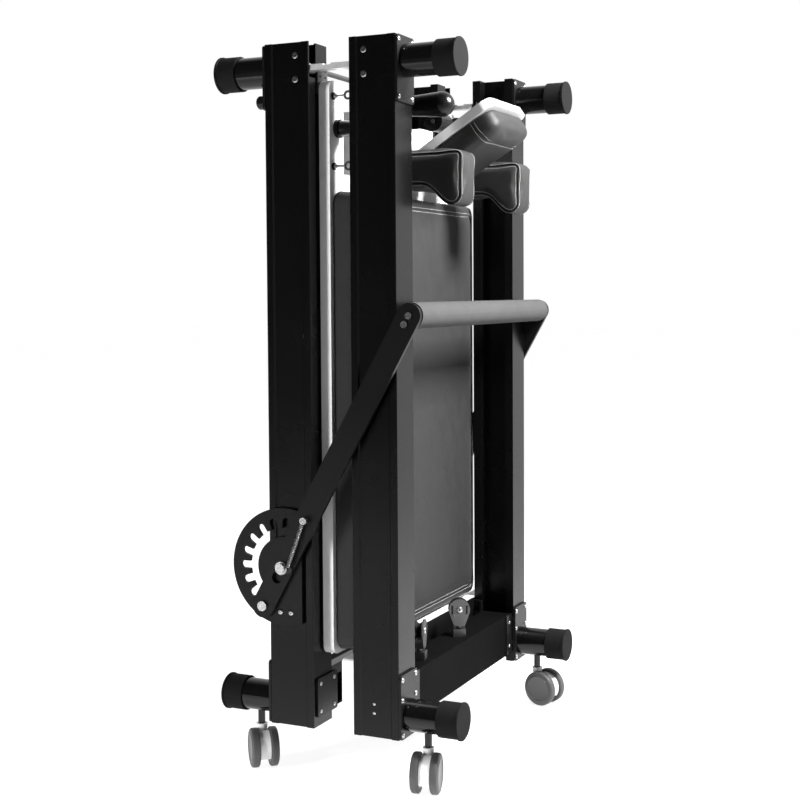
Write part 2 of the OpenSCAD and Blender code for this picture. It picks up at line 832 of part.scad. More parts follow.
foot_rail_near();
foot_rail_far();
foot_end_beam();
spring_bar();
foot_plates();
foot_legs();
foot_leg_caps();
foot_knob();
quadrant_near();
quadrant_far();
foot_bar_pivots();
foot_screws();
foot_hinge_leaves();
fold_shaft();
head_rail_near();
head_rail_far();
head_end_beam();
platform_board();
head_plates();
head_legs();
head_leg_caps();
head_screws();
head_corner_brackets();
head_hinge_leaves();
head_hinge_pins();
pulley_posts();
pulley_block_near();
pulley_block_far();
pulley_sheave_near();
pulley_sheave_far();
hinge_links();
pivot_bushes();
foot_bar_arm_near();
foot_bar_arm_far();
foot_bar_tube();
foot_bar_grip();
foot_bar_fasteners();
foot_bar_springs();
carriage_board();
carriage_pad();
carriage_frame();
carriage_rollers_upper();
carriage_rollers_lower();
carriage_fittings();
carriage_grips();
shoulder_rest_near();
shoulder_rest_far();
headrest_board();
headrest_pad();
headrest_prop();
headrest_roller();
resistance_springs();
caster_fork_fn();
caster_fork_ff();
caster_fork_hn();
caster_fork_hf();
caster_wheels_fn();
caster_wheels_ff();
caster_wheels_hn();
caster_wheels_hf();
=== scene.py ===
"""Folding pilates reformer, stored folded and upright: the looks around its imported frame.

Every length is in metres in the frame's own axes: +X from the foot half to the head half, +Y across the bed,
+Z up. Places come from the CAD nodes' boxes; the classes below hold only the sizes that the looks add.
"""

import json
import logging
import math
from dataclasses import dataclass
from enum import Enum
from typing import Callable, Dict, Iterable, List, Optional, Sequence, Tuple

import bmesh
import bpy
from mathutils import Matrix, Vector
from mathutils.bvhtree import BVHTree


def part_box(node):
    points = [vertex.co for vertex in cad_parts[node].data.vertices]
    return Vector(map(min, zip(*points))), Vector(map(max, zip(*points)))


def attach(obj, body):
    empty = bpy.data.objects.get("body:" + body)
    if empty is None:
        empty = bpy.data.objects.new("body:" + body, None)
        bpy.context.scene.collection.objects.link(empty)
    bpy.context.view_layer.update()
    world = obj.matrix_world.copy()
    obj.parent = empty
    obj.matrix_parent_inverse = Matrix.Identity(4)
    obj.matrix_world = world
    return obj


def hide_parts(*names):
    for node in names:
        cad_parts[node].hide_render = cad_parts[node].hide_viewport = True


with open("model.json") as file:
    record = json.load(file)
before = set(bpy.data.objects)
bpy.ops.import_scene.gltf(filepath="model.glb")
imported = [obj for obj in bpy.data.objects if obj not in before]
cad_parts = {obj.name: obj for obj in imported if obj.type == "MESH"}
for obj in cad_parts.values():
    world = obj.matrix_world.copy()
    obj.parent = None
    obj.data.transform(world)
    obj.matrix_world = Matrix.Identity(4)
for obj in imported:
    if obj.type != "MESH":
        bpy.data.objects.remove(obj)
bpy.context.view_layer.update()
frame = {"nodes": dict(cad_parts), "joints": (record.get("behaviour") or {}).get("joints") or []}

MM = 0.001
LOG = logging.getLogger("reformer")
Triple = Tuple[float, float, float]
Outline = List[Tuple[float, float]]
BUILT: Dict[str, bpy.types.Material] = {}


# ---------------------------------------------------------------- shaders


class Wire:
    """A shader socket that takes part in Python arithmetic."""

    def __init__(self, shader: "Shader", socket: bpy.types.NodeSocket) -> None:
        """Keeps the socket and the shader that it belongs to."""
        self.shader = shader
        self.socket = socket

    def _math(self, operation: str, first: object, second: object) -> "Wire":
        """Adds one Math node.

        Args:
            operation: the node's operation.
            first: a Wire or a number.
            second: a Wire or a number.

        Returns:
            The node's result.
        """
        return self.shader.add("ShaderNodeMath", {"operation": operation}, {0: first, 1: second})

    def __add__(self, other: object) -> "Wire":
        """self + other."""
        return self._math("ADD", self, other)

    def __mul__(self, other: object) -> "Wire":
        """self * other."""
        return self._math("MULTIPLY", self, other)

    def above(self, level: float) -> "Wire":
        """1 where the value is over a level, and 0 elsewhere."""
        return self._math("GREATER_THAN", self, level)


class Shader:
    """One material's node tree, built by method calls."""

    def __init__(self, name: str) -> None:
        """Makes an empty material with an output and a surface shader."""
        self.material = bpy.data.materials.new(name)
        self.material.use_nodes = True
        self.tree = self.material.node_tree
        self.tree.nodes.clear()
        self.output = self.tree.nodes.new("ShaderNodeOutputMaterial")
        self.surface = self.tree.nodes.new("ShaderNodeBsdfPrincipled")
        self.tree.links.new(self.surface.outputs[0], self.output.inputs[0])

    def add(self, kind: str, settings: Dict[str, object], sockets: Dict[object, object],
            out: object = 0) -> Wire:
        """Adds a node.

        Args:
            kind: the node's type.
            settings: the node's own properties, set before its sockets.
            sockets: input name or number to a value or a Wire.
            out: name or number of the output to return.

        Returns:
            The chosen output.
        """
        node = self.tree.nodes.new(kind)
        for key, value in settings.items():
            setattr(node, key, value)
        for key, value in sockets.items():
            self.feed(node.inputs[key], value)
        return Wire(self, node.outputs[out])

    def feed(self, socket: bpy.types.NodeSocket, value: object) -> None:
        """Links a Wire to a socket, or sets the socket to a plain value."""
        if isinstance(value, Wire):
            self.tree.links.new(value.socket, socket)
        else:
            socket.default_value = value

    def place(self, stretch: Triple = (1.0, 1.0, 1.0)) -> Wire:
        """The object's own coordinates, stretched along each axis."""
        where = self.add("ShaderNodeTexCoord", {}, {}, "Object")
        return self.add("ShaderNodeMapping", {}, {"Vector": where, "Scale": stretch})

    def noise(self, scale: float, detail: float = 2.0, stretch: Triple = (1.0, 1.0, 1.0)) -> Wire:
        """Noise from 0 to 1 over the object's coordinates."""
        sockets = {"Vector": self.place(stretch), "Scale": scale, "Detail": detail}
        return self.add("ShaderNodeTexNoise", {}, sockets, 0)

    def cells(self, scale: float, feature: str = "F1") -> Wire:
        """Distance to the cells of a Voronoi pattern."""
        sockets = {"Vector": self.place(), "Scale": scale}
        return self.add("ShaderNodeTexVoronoi", {"feature": feature}, sockets, "Distance")

    def between(self, mask: Wire, low: float, high: float) -> Wire:
        """A grey that runs from low to high as the mask runs from 0 to 1."""
        ends = {0: mask, 6: (low, low, low, 1.0), 7: (high, high, high, 1.0)}
        return self.add("ShaderNodeMix", {"data_type": "RGBA"}, ends, 2)

    def bump(self, height: Wire, depth: float, strength: float = 1.0) -> None:
        """Feeds a height to the surface's normal, with its depth in metres."""
        sockets = {"Height": height, "Distance": depth, "Strength": strength}
        self.feed(self.surface.inputs["Normal"], self.add("ShaderNodeBump", {}, sockets))


class Grain(Enum):
    """How the surface of a finish is textured."""

    POWDER = "powder coat with a fine orange peel"
    PAINT = "smooth gloss paint"
    RUBBER = "moulded rubber"
    MOULDED = "moulded plastic"
    PLATED = "plated and brushed metal"
    CAST = "sand cast metal"
    LAMINATE = "laminated board"
    LEATHER = "grained leather"
    FOAM = "speckled foam"
    PAPER = "studio paper that glows behind the machine"


@dataclass(frozen=True)
class Finish:
    """One finish of the machine.

    Args:
        name: the material's name.
        grain: how its surface is textured.
        tone: its grey, from 0 to 1, in linear light.
        rough: its roughness.
        gloss: the level of its highlights.
        metal: 1 for bare metal.
    """

    name: str
    grain: Grain
    tone: float
    rough: float
    gloss: float = 0.5
    metal: float = 0.0

    def material(self) -> bpy.types.Material:
        """Builds the material, or finds it if it was built before.

        Returns:
            The finished material.
        """
        if self.name in BUILT:
            return BUILT[self.name]
        shader = Shader(self.name)
        BUILT[self.name] = shader.material
        shader.surface.inputs["Specular IOR Level"].default_value = self.gloss
        shader.surface.inputs["Metallic"].default_value = self.metal
        shader.material.diffuse_color = (self.tone, self.tone, self.tone, 1.0)
        GRAIN_RECIPES[self.grain](self, shader)
        return shader.material

    def dress(self, shader: Shader, mask: Wire, spread: float, rough_spread: float) -> None:
        """Sets colour and roughness, both varied by one mask.

        Args:
            shader: the shader to set.
            mask: 0 to 1 over the surface.
            spread: how far the grey moves, as a share of itself.
            rough_spread: how far the roughness moves.
        """
        low, high = self.tone * (1 - spread), self.tone * (1 + spread)
        shader.feed(shader.surface.inputs["Base Color"], shader.between(mask, low, high))
        shader.feed(shader.surface.inputs["Roughness"], mask * rough_spread + (self.rough - rough_spread / 2))


def powder_recipe(finish: Finish, shader: Shader) -> None:
    """Orange peel, faint rubbed patches and a few specks of dust."""
    peel = shader.noise(900.0, 3.0)
    rubbed = shader.noise(7.0, 5.0)
    specks = shader.noise(420.0, 1.0).above(0.78)
    finish.dress(shader, rubbed + specks * 0.6, 0.25, 0.22)
    shader.bump(peel + rubbed * 0.2, 0.00016, 0.35)


def paint_recipe(finish: Finish, shader: Shader) -> None:
    """Gloss paint with slow waviness and hairline rub marks along its length."""
    wave = shader.noise(30.0, 2.0)
    rub = shader.noise(160.0, 4.0, (0.15, 1.0, 1.0))
    finish.dress(shader, wave * 0.5 + rub * 0.5, 0.2, 0.14)
    shader.bump(wave + rub * 0.12, 0.0002, 0.2)


def rubber_recipe(finish: Finish, shader: Shader) -> None:
    """Fine stippled rubber with dry, paler patches."""
    stipple = shader.cells(1500.0)
    dry = shader.noise(25.0, 6.0)
    finish.dress(shader, dry, 0.35, 0.16)
    shader.bump(stipple + dry * 0.5, 0.0002, 0.5)


def moulded_recipe(finish: Finish, shader: Shader) -> None:
    """Spark-eroded plastic with a faint flow pattern."""
    spark = shader.noise(1400.0, 2.0)
    flow = shader.noise(18.0, 3.0)
    finish.dress(shader, flow, 0.12, 0.12)
    shader.bump(spark, 0.00012, 0.3)


def plated_recipe(finish: Finish, shader: Shader) -> None:
    """Zinc plate with turned lines and dull blooms."""
    lines = shader.noise(1800.0, 2.0, (0.2, 1.0, 0.2))
    bloom = shader.noise(120.0, 4.0)
    finish.dress(shader, bloom * 0.7 + lines * 0.3, 0.22, 0.2)
    shader.bump(lines, 0.00008, 0.3)


def cast_recipe(finish: Finish, shader: Shader) -> None:
    """Coarse sand casting."""
    sand = shader.noise(650.0, 4.0)
    pits = shader.cells(900.0)
    finish.dress(shader, sand, 0.3, 0.2)
    shader.bump(sand + pits * 0.5, 0.0005, 0.6)


def laminate_recipe(finish: Finish, shader: Shader) -> None:
    """Fine pearl laminate with faint handling marks."""
    pearl = shader.noise(1100.0, 2.0)
    marks = shader.noise(9.0, 6.0, (1.0, 1.0, 0.4))
    finish.dress(shader, marks, 0.04, 0.14)
    shader.bump(pearl, 0.00008, 0.25)


def leather_recipe(finish: Finish, shader: Shader) -> None:
    """Pebbled grain, creases between the pebbles and worn, shinier tops."""
    pebbles = shader.cells(620.0, "SMOOTH_F1")
    creases = shader.cells(300.0, "DISTANCE_TO_EDGE")
    pull = shader.noise(34.0, 5.0)
    finish.dress(shader, pull * 0.6 + pebbles * 0.5, 0.28, 0.24)
    shader.bump(pebbles * -1.0 + creases * 0.8 + pull * 0.8, 0.0007, 0.55)


def foam_recipe(finish: Finish, shader: Shader) -> None:
    """Closed-cell foam: dark and pale specks and small open cells."""
    specks = shader.noise(520.0, 6.0)
    cells = shader.cells(800.0)
    shade = shader.noise(40.0, 3.0)
    finish.dress(shader, specks * 0.8 + shade * 0.3, 0.55, 0.1)
    shader.bump(cells, 0.0004, 0.6)


def paper_recipe(finish: Finish, shader: Shader) -> None:
    """Pale paper that glows more and more from the machine's near side to its far side."""
    finish.dress(shader, shader.noise(3.0, 2.0), 0.02, 0.05)
    where = shader.add("ShaderNodeSeparateXYZ", {}, {0: shader.place()}, "Y")
    ends = {"From Min": -1.15, "From Max": -0.3, "To Min": 0.0, "To Max": 0.85}
    glow = shader.add("ShaderNodeMapRange", {"interpolation_type": "SMOOTHSTEP"}, {"Value": where, **ends})
    shader.feed(shader.surface.inputs["Emission Color"], shader.between(glow, 0.0, 1.0))
    shader.surface.inputs["Emission Strength"].default_value = 1.0


GRAIN_RECIPES: Dict[Grain, Callable[[Finish, Shader], None]] = {
    Grain.POWDER: powder_recipe,
    Grain.PAINT: paint_recipe,
    Grain.RUBBER: rubber_recipe,
    Grain.MOULDED: moulded_recipe,
    Grain.PLATED: plated_recipe,
    Grain.CAST: cast_recipe,
    Grain.LAMINATE: laminate_recipe,
    Grain.LEATHER: leather_recipe,
    Grain.FOAM: foam_recipe,
    Grain.PAPER: paper_recipe,
}

RAIL_BLACK = Finish("rail_powder_coat", Grain.POWDER, 0.0018, 0.26, 0.24)
PLATE_BLACK = Finish("plate_powder_coat", Grain.POWDER, 0.005, 0.34, 0.22)
BEAM_BLACK = Finish("beam_powder_coat", Grain.POWDER, 0.002, 0.75, 0.05)
TUBE_BLACK = Finish("leg_gloss_paint", Grain.PAINT, 0.003, 0.14, 0.35)
CAP_RUBBER = Finish("stippled_rubber", Grain.RUBBER, 0.007, 0.75, 0.1)
ZINC = Finish("zinc_plate", Grain.PLATED, 0.62, 0.28, metal=1.0)
CAST_SILVER = Finish("sand_cast_silver", Grain.CAST, 0.16, 0.42, metal=1.0)
LINK_SILVER = Finish("anodised_link", Grain.PLATED, 0.72, 0.4, metal=0.6)
DARK_STEEL = Finish("satin_dark_steel", Grain.POWDER, 0.03, 0.38, 0.5)
WHITE_BOARD = Finish("white_laminate", Grain.LAMINATE, 0.72, 0.38)
LEATHER = Finish("grained_leather", Grain.LEATHER, 0.024, 0.5, 0.24)
THREAD = Finish("pale_thread", Grain.MOULDED, 0.5, 0.6)
FOAM = Finish("grip_foam", Grain.FOAM, 0.052, 0.85, 0.2)
BLACK_PLASTIC = Finish("gloss_black_plastic", Grain.MOULDED, 0.004, 0.22, 0.35)
CASTER_GREY = Finish("caster_shell", Grain.MOULDED, 0.8, 0.36)
DISC_GREY = Finish("caster_disc", Grain.MOULDED, 0.07, 0.4)
CASTER_TYRE = Finish("tyre_rubber", Grain.RUBBER, 0.06, 0.55)
ROLLER_GREY = Finish("roller_nylon", Grain.MOULDED, 0.12, 0.4)


# ---------------------------------------------------------------- meshes


def placed(name: str, data: Optional[bpy.types.ID]) -> bpy.types.Object:
    """A new object in the scene, at the origin."""
    item = bpy.data.objects.new(name, data)
    bpy.context.scene.collection.objects.link(item)
    return item


def new_piece(name: str, bm: bmesh.types.BMesh, finish: Finish, smooth: float = 40.0) -> bpy.types.Object:
    """Turns a bmesh into a piece at the origin.

    Args:
        name: the piece's name.
        bm: its mesh, which is freed.
        finish: its finish.
        smooth: edges flatter than this angle, in degrees, are shaded smooth.

    Returns:
        The new object.
    """
    bmesh.ops.recalc_face_normals(bm, faces=bm.faces)
    mesh = bpy.data.meshes.new(name)
    bm.to_mesh(mesh)
    bm.free()
    mesh.materials.append(finish.material())
    mesh.shade_smooth()
    mesh.set_sharp_from_angle(angle=math.radians(smooth))
    return placed(name, mesh)


def settle(piece: bpy.types.Object) -> bpy.types.Object:
    """Turns a piece with modifiers into a plain mesh.

    Args:
        piece: the object, whose modifiers are applied and removed.

    Returns:
        The same object.
    """
    graph = bpy.context.evaluated_depsgraph_get()
    mesh = bpy.data.meshes.new_from_object(piece.evaluated_get(graph))
    piece.modifiers.clear()
    old = piece.data
    piece.data = mesh
    bpy.data.meshes.remove(old)
    return piece


def round_outline(low: Tuple[float, float], high: Tuple[float, float], radius: float,
                  steps: int = 8) -> Outline:
    """Points of a rectangle with round corners, counter-clockwise.

    Args:
        low: its lowest corner.
        high: its highest corner.
        radius: radius of its corners.
        steps: points on each corner.

    Returns:
        The outline's points.
    """
    points: Outline = []
    middles = ((high[0] - radius, high[1] - radius), (low[0] + radius, high[1] - radius),
               (low[0] + radius, low[1] + radius), (high[0] - radius, low[1] + radius))
    for corner, (u, v) in enumerate(middles):
        for step in range(steps + 1):
            angle = math.pi / 2 * (corner + step / steps)
            points.append((u + radius * math.cos(angle), v + radius * math.sin(angle)))
    return points


def prism(outline: Sequence[Tuple[float, float]], place: Callable[[float, float, float], Vector],
          depth: float) -> bmesh.types.BMesh:
    """A solid with one outline and flat ends.

    Args:
        outline: its points.
        place: takes the outline's two values and the depth, and gives the point in the frame.
        depth: its thickness.

    Returns:
        A closed bmesh.
    """
    bm = bmesh.new()
    rings = [[bm.verts.new(place(u, v, w)) for u, v in outline] for w in (0.0, depth)]
    bm.faces.new(rings[0])
    bm.faces.new(list(reversed(rings[1])))
    count = len(outline)
    for i in range(count):
        j = (i + 1) % count
        bm.faces.new((rings[0][i], rings[0][j], rings[1][j], rings[1][i]))
    return bm


def lathe(profile: Sequence[Tuple[float, float]], matrix: Matrix, segments: int = 48,
          bm: Optional[bmesh.types.BMesh] = None) -> bmesh.types.BMesh:
    """A turned solid.

    Args:
        profile: radius and height of each ring, from one end to the other; radius 0 closes an end.
        matrix: takes the turned solid, whose axis is Z, to its place.
        segments: faces round it.
        bm: a bmesh to add to.

    Returns:
        The bmesh with the solid in it.
    """
    bm = bm or bmesh.new()
    rings: List[List[bmesh.types.BMVert]] = []
    for radius, height in profile:
        if radius < 1e-7:
            rings.append([bm.verts.new(matrix @ Vector((0.0, 0.0, height)))])
            continue
        turn = [2 * math.pi * i / segments for i in range(segments)]
        rings.append([bm.verts.new(matrix @ Vector((radius * math.cos(a), radius * math.sin(a), height)))
                      for a in turn])
    for low, high in zip(rings, rings[1:]):
        for i in range(segments):
            j = (i + 1) % segments
            corners = [low[i % len(low)], low[j % len(low)], high[j % len(high)], high[i % len(high)]]
            unique = list(dict.fromkeys(corners))
            if len(unique) > 2:
                bm.faces.new(unique)
    return bm


def in_mm(*points: Tuple[float, float]) -> Outline:
    """A profile's points, given in millimetres."""
    return [(u * MM, v * MM) for u, v in points]


def axis_to(direction: Vector, origin: Vector) -> Matrix:
    """The matrix that takes +Z to a direction, keeps Y upright, and moves the origin to a point."""
    return Matrix.Translation(origin) @ direction.to_track_quat("Z", "Y").to_matrix().to_4x4()


def tube(path: Sequence[Vector], radius: float, sides: int = 10,
         bm: Optional[bmesh.types.BMesh] = None) -> bmesh.types.BMesh:
    """A round bar bent along a path, closed at both ends.

    Args:
        path: points along its middle.
        radius: the bar's radius.
        sides: faces round it.
        bm: a bmesh to add to.

    Returns:
        The bmesh with the bar in it.
    """
    bm = bm or bmesh.new()
    rings = []
    normal = None
    for i, point in enumerate(path):
        along = (path[min(i + 1, len(path) - 1)] - path[max(i - 1, 0)]).normalized()
        if normal is None:
            normal = along.orthogonal().normalized()
        normal = (normal - along * normal.dot(along)).normalized()
        other = along.cross(normal)
        rings.append([bm.verts.new(point + radius * (normal * math.cos(a) + other * math.sin(a)))
                      for a in (2 * math.pi * k / sides for k in range(sides))])
    for low, high in zip(rings, rings[1:]):
        for i in range(sides):
            j = (i + 1) % sides
            bm.faces.new((low[i], low[j], high[j], high[i]))
    bm.faces.new(list(reversed(rings[0])))
    bm.faces.new(rings[-1])
    return bm


def middle(node: str) -> Vector:
    """The middle of a CAD node's box."""
    low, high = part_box(node)
    return (low + high) / 2


# ---------------------------------------------------------------- geometry node tools


class NodeTool:
    """A Geometry Nodes tree with named inputs, run once on a piece."""

    def __init__(self, name: str, inputs: Dict[str, float]) -> None:
        """Makes the tree's interface.

        Args:
            name: the tree's name.
            inputs: name to value of each size that the tree takes.
        """
        self.tree = bpy.data.node_groups.new(name, "GeometryNodeTree")
        face = self.tree.interface
        face.new_socket(name="Geometry", in_out="INPUT", socket_type="NodeSocketGeometry")
        face.new_socket(name="Geometry", in_out="OUTPUT", socket_type="NodeSocketGeometry")
        self.identifiers = {}
        for key in inputs:
            item = face.new_socket(name=key, in_out="INPUT", socket_type="NodeSocketFloat")
            self.identifiers[key] = item.identifier
        self.values = inputs
        self.start = self.tree.nodes.new("NodeGroupInput")
        self.end = self.tree.nodes.new("NodeGroupOutput")

    def size(self, name: str) -> bpy.types.NodeSocket:
        """The output that carries one of the tree's sizes."""
        return self.start.outputs[name]

    def add(self, kind: str, settings: Dict[str, object], sockets: Dict[object, object],
            out: object = 0) -> bpy.types.NodeSocket:
        """Adds a node and returns one of its outputs.

        Args:
            kind: the node's type.
            settings: its own properties.
            sockets: input name or number to a value or an output socket.
            out: name or number of the output to return.

        Returns:
            The chosen output socket.
        """
        node = self.tree.nodes.new(kind)
        for key, value in settings.items():
            setattr(node, key, value)
        for key, value in sockets.items():
            if isinstance(value, bpy.types.NodeSocket):
                self.tree.links.new(value, node.inputs[key])
            else:
                node.inputs[key].default_value = value
        return node.outputs[out]

    def close(self, geometry: bpy.types.NodeSocket, finish: Finish) -> None:
        """Ends the tree in Realize Instances and Set Material."""
        real = self.add("GeometryNodeRealizeInstances", {}, {"Geometry": geometry})
        done = self.add("GeometryNodeSetMaterial", {}, {"Geometry": real, "Material": finish.material()})
        self.tree.links.new(done, self.end.inputs[0])

    def run(self, name: str, seed: bpy.types.Object) -> bpy.types.Object:
        """Runs the tree on an object and keeps the result as a plain mesh piece.

        Args:
            name: the piece's name.
            seed: the object whose geometry the tree starts from, which is removed.

        Returns:
            The new piece.
        """
        modifier = seed.modifiers.new(name, "NODES")
        modifier.node_group = self.tree
        for key, value in self.values.items():
            modifier[self.identifiers[key]] = value
        graph = bpy.context.evaluated_depsgraph_get()
        mesh = bpy.data.meshes.new_from_object(seed.evaluated_get(graph))
        mesh.name = name
        seed.modifiers.clear()
        bpy.data.objects.remove(seed)
        return placed(name, mesh)


def curve_seed(name: str, paths: Iterable[Sequence[Vector]]) -> bpy.types.Object:
    """A curve object with one open line for each path."""
    data = bpy.data.curves.new(name, "CURVE")
    data.dimensions = "3D"
    for path in paths:
        line = data.splines.new("POLY")
        line.points.add(len(path) - 1)
        for point, where in zip(line.points, path):
            point.co = (*where, 1.0)
    return placed(name, data)


def sew(name: str, paths: Iterable[Sequence[Vector]], pitch: float = 4.6 * MM, length: float = 3.2 * MM,
        thread: float = 0.55 * MM) -> bpy.types.Object:
    """Stitches along paths on a leather surface.

    Args:
        name: the piece's name.
        paths: lines that the thread follows.
        pitch: distance from one stitch to the next.
        length: length of a stitch.
        thread: radius of the thread.

    Returns:
        One piece with every stitch.
    """
    tool = NodeTool(name + "_tree", {"Pitch": pitch, "Length": length, "Thread": thread})
    points = tool.add("GeometryNodeResampleCurve", {"mode": "LENGTH"},
                      {"Curve": tool.start.outputs[0], "Length": tool.size("Pitch")})
    bead = tool.add("GeometryNodeMeshUVSphere", {}, {"Segments": 6, "Rings": 5, "Radius": 1.0})
    half = tool.add("ShaderNodeMath", {"operation": "MULTIPLY"}, {0: tool.size("Length"), 1: 0.5})
    sizes = tool.add("ShaderNodeCombineXYZ", {}, {0: tool.size("Thread"), 1: tool.size("Thread"), 2: half})
    tangent = tool.add("GeometryNodeInputTangent", {}, {})
    turn = tool.add("FunctionNodeAlignRotationToVector", {"axis": "Z"}, {"Vector": tangent})
    beads = tool.add("GeometryNodeInstanceOnPoints", {},
                     {"Points": points, "Instance": bead, "Rotation": turn, "Scale": sizes})
    tool.close(beads, THREAD)
    return tool.run(name, curve_seed(name + "_lines", paths))


def coil(name: str, start: Vector, end: Vector, radius: float, wire: float, turns: float) -> bpy.types.Object:
    """A coil spring between two points.

    Args:
        name: the piece's name.
        start: where it begins.
        end: where it ends.
        radius: the coil's radius, to the middle of the wire.
        wire: the wire's radius.
        turns: number of turns.

    Returns:
        The spring.
    """
    sizes = {"Radius": radius, "Wire": wire, "Turns": turns, "Height": (end - start).length}
    tool = NodeTool(name + "_tree", sizes)
    spiral = tool.add("GeometryNodeCurveSpiral", {}, {
        "Resolution": 16, "Rotations": tool.size("Turns"), "Start Radius": tool.size("Radius"),
        "End Radius": tool.size("Radius"), "Height": tool.size("Height")})
    ring = tool.add("GeometryNodeCurvePrimitiveCircle", {}, {"Resolution": 8, "Radius": tool.size("Wire")})
    body = tool.add("GeometryNodeCurveToMesh", {},
                    {"Curve": spiral, "Profile Curve": ring, "Fill Caps": True})
    tool.close(body, ZINC)
    piece = tool.run(name, curve_seed(name + "_seed", [[Vector(), Vector((0, 0, 0.01))]]))
    piece.data.transform(axis_to(end - start, start))
    piece.data.shade_smooth()
    return piece


def screw_head(radius: float) -> bpy.types.Object:
    """A button head with a hexagon socket, looking along +Z, used as the instance of screw_set."""
    sides = 24
    bm = bmesh.new()
    shares = ((1.0, 0.0), (1.0, 0.1), (0.94, 0.22), (0.78, 0.33), (0.55, 0.38))
    dome = [(radius * u, radius * v) for u, v in shares]
    rings = []
    for ring_radius, height in dome:
        rings.append([bm.verts.new((ring_radius * math.cos(a), ring_radius * math.sin(a), height))
                      for a in (2 * math.pi * i / sides for i in range(sides))])
    for height in (0.38 * radius, 0.06 * radius):
        ring = []
        for i in range(sides):
            a = 2 * math.pi * i / sides
            flat = 0.36 * radius / math.cos((a % (math.pi / 3)) - math.pi / 6)
            ring.append(bm.verts.new((flat * math.cos(a), flat * math.sin(a), height)))
        rings.append(ring)
    for low, high in zip(rings, rings[1:]):
        for i in range(sides):
            j = (i + 1) % sides
            bm.faces.new((low[i], low[j], high[j], high[i]))
    bm.faces.new(rings[-1])
    bm.faces.new(list(reversed(rings[0])))
    return new_piece("screw_pattern", bm, ZINC, 30.0)


def screw_set(name: str, radius: float, places: Sequence[Tuple[Vector, Vector]]) -> bpy.types.Object:
    """Identical screws, one for each place.

    Args:
        name: the piece's name.
        radius: radius of the heads.
        places: seat and outward direction of each screw.

    Returns:
        One piece with every screw.
    """
    pattern = screw_head(1.0)
    mesh = bpy.data.meshes.new(name + "_points")
    mesh.from_pydata([tuple(seat) for seat, _ in places], [], [])
    facing = mesh.attributes.new("facing", "FLOAT_VECTOR", "POINT")
    for item, (_, direction) in zip(facing.data, places):
        item.vector = direction
    seed = placed(name + "_seed", mesh)
    tool = NodeTool(name + "_tree", {"Radius": radius})
    shape = tool.add("GeometryNodeObjectInfo", {}, {"Object": pattern}, "Geometry")
    direction = tool.add("GeometryNodeInputNamedAttribute", {"data_type": "FLOAT_VECTOR"}, {"Name": "facing"})
    turn = tool.add("FunctionNodeAlignRotationToVector", {"axis": "Z"}, {"Vector": direction})
    heads = tool.add("GeometryNodeInstanceOnPoints", {}, {
        "Points": tool.start.outputs[0], "Instance": shape, "Rotation": turn, "Scale": tool.size("Radius")})
    tool.close(heads, ZINC)
    piece = tool.run(name, seed)
    bpy.data.objects.remove(pattern)
    return piece


# ---------------------------------------------------------------- soft goods


FILL_FRAMES = 20
SEWN_LIFT = 0.3 * MM


def puff(bm: bmesh.types.BMesh, name: str, pinned: Callable[[Vector], bool], voxel: float, cap: float,
         pressure: float = 4.0, relax: int = 3) -> bpy.types.Object:
    """Fills a closed leather form with cloth simulation.

    Args:
        bm: the slack form, which is freed.
        name: the piece's name.
        pinned: says whether a point is held, as where the form rests on a board.
        voxel: size of the remeshed faces.
        cap: the furthest that a point may move.
        pressure: the pressure inside.
        relax: passes of smoothing after the filling.

    Returns:
        The filled form, with one subdivision and no modifiers.
    """
    piece = new_piece(name, bm, LEATHER, 180.0)
    remesh = piece.modifiers.new("voxels", "REMESH")
    remesh.mode = "VOXEL"
    remesh.voxel_size = voxel
    settle(piece)
    start = [v.co.copy() for v in piece.data.vertices]
    group = piece.vertex_groups.new(name="held")
    group.add([i for i, co in enumerate(start) if pinned(co)], 1.0, "REPLACE")
    cloth = piece.modifiers.new("fill", "CLOTH")
    cloth.settings.use_pressure = True
    cloth.settings.uniform_pressure_force = pressure
    cloth.settings.vertex_group_mass = "held"
    cloth.settings.quality = 5
    cloth.settings.effector_weights.gravity = 0.0
    cloth.collision_settings.use_collision = False
    scene = bpy.context.scene
    for step in range(1, FILL_FRAMES + 1):
        scene.frame_set(step)
    settle(piece)
    scene.frame_set(1)
    for vertex, origin in zip(piece.data.vertices, start):
        move = vertex.co - origin
        if move.length > cap:
            vertex.co = origin + move.normalized() * cap
    smooth = piece.modifiers.new("relax", "SMOOTH")
    smooth.factor = 0.5
    smooth.iterations = relax
    settle(piece)
    finer = piece.modifiers.new("finer", "SUBSURF")
    finer.levels = 1
    finer.render_levels = 1
    settle(piece)
    piece.vertex_groups.clear()
    piece.data.materials.clear()
    piece.data.materials.append(LEATHER.material())
    piece.data.shade_smooth()
    return piece


def surface_of(piece: bpy.types.Object) -> BVHTree:
    """A tree that finds the nearest point of a piece."""
    mesh = piece.data
    return BVHTree.FromPolygons([v.co for v in mesh.vertices], [p.vertices for p in mesh.polygons])


def laid(path: Sequence[Vector], surface: BVHTree, lift: float) -> List[Vector]:
    """A path moved onto a surface.

    Args:
        path: its points.
        surface: the surface's tree.
        lift: how far it stands off the surface.

    Returns:
        The new points.
    """
    points = []
    for point in path:
        spot, normal, _, _ = surface.find_nearest(point)
        outward = normal if normal.dot(point - spot) >= 0 or (point - spot).length < MM else -normal
        points.append(spot + outward * lift)
    return points


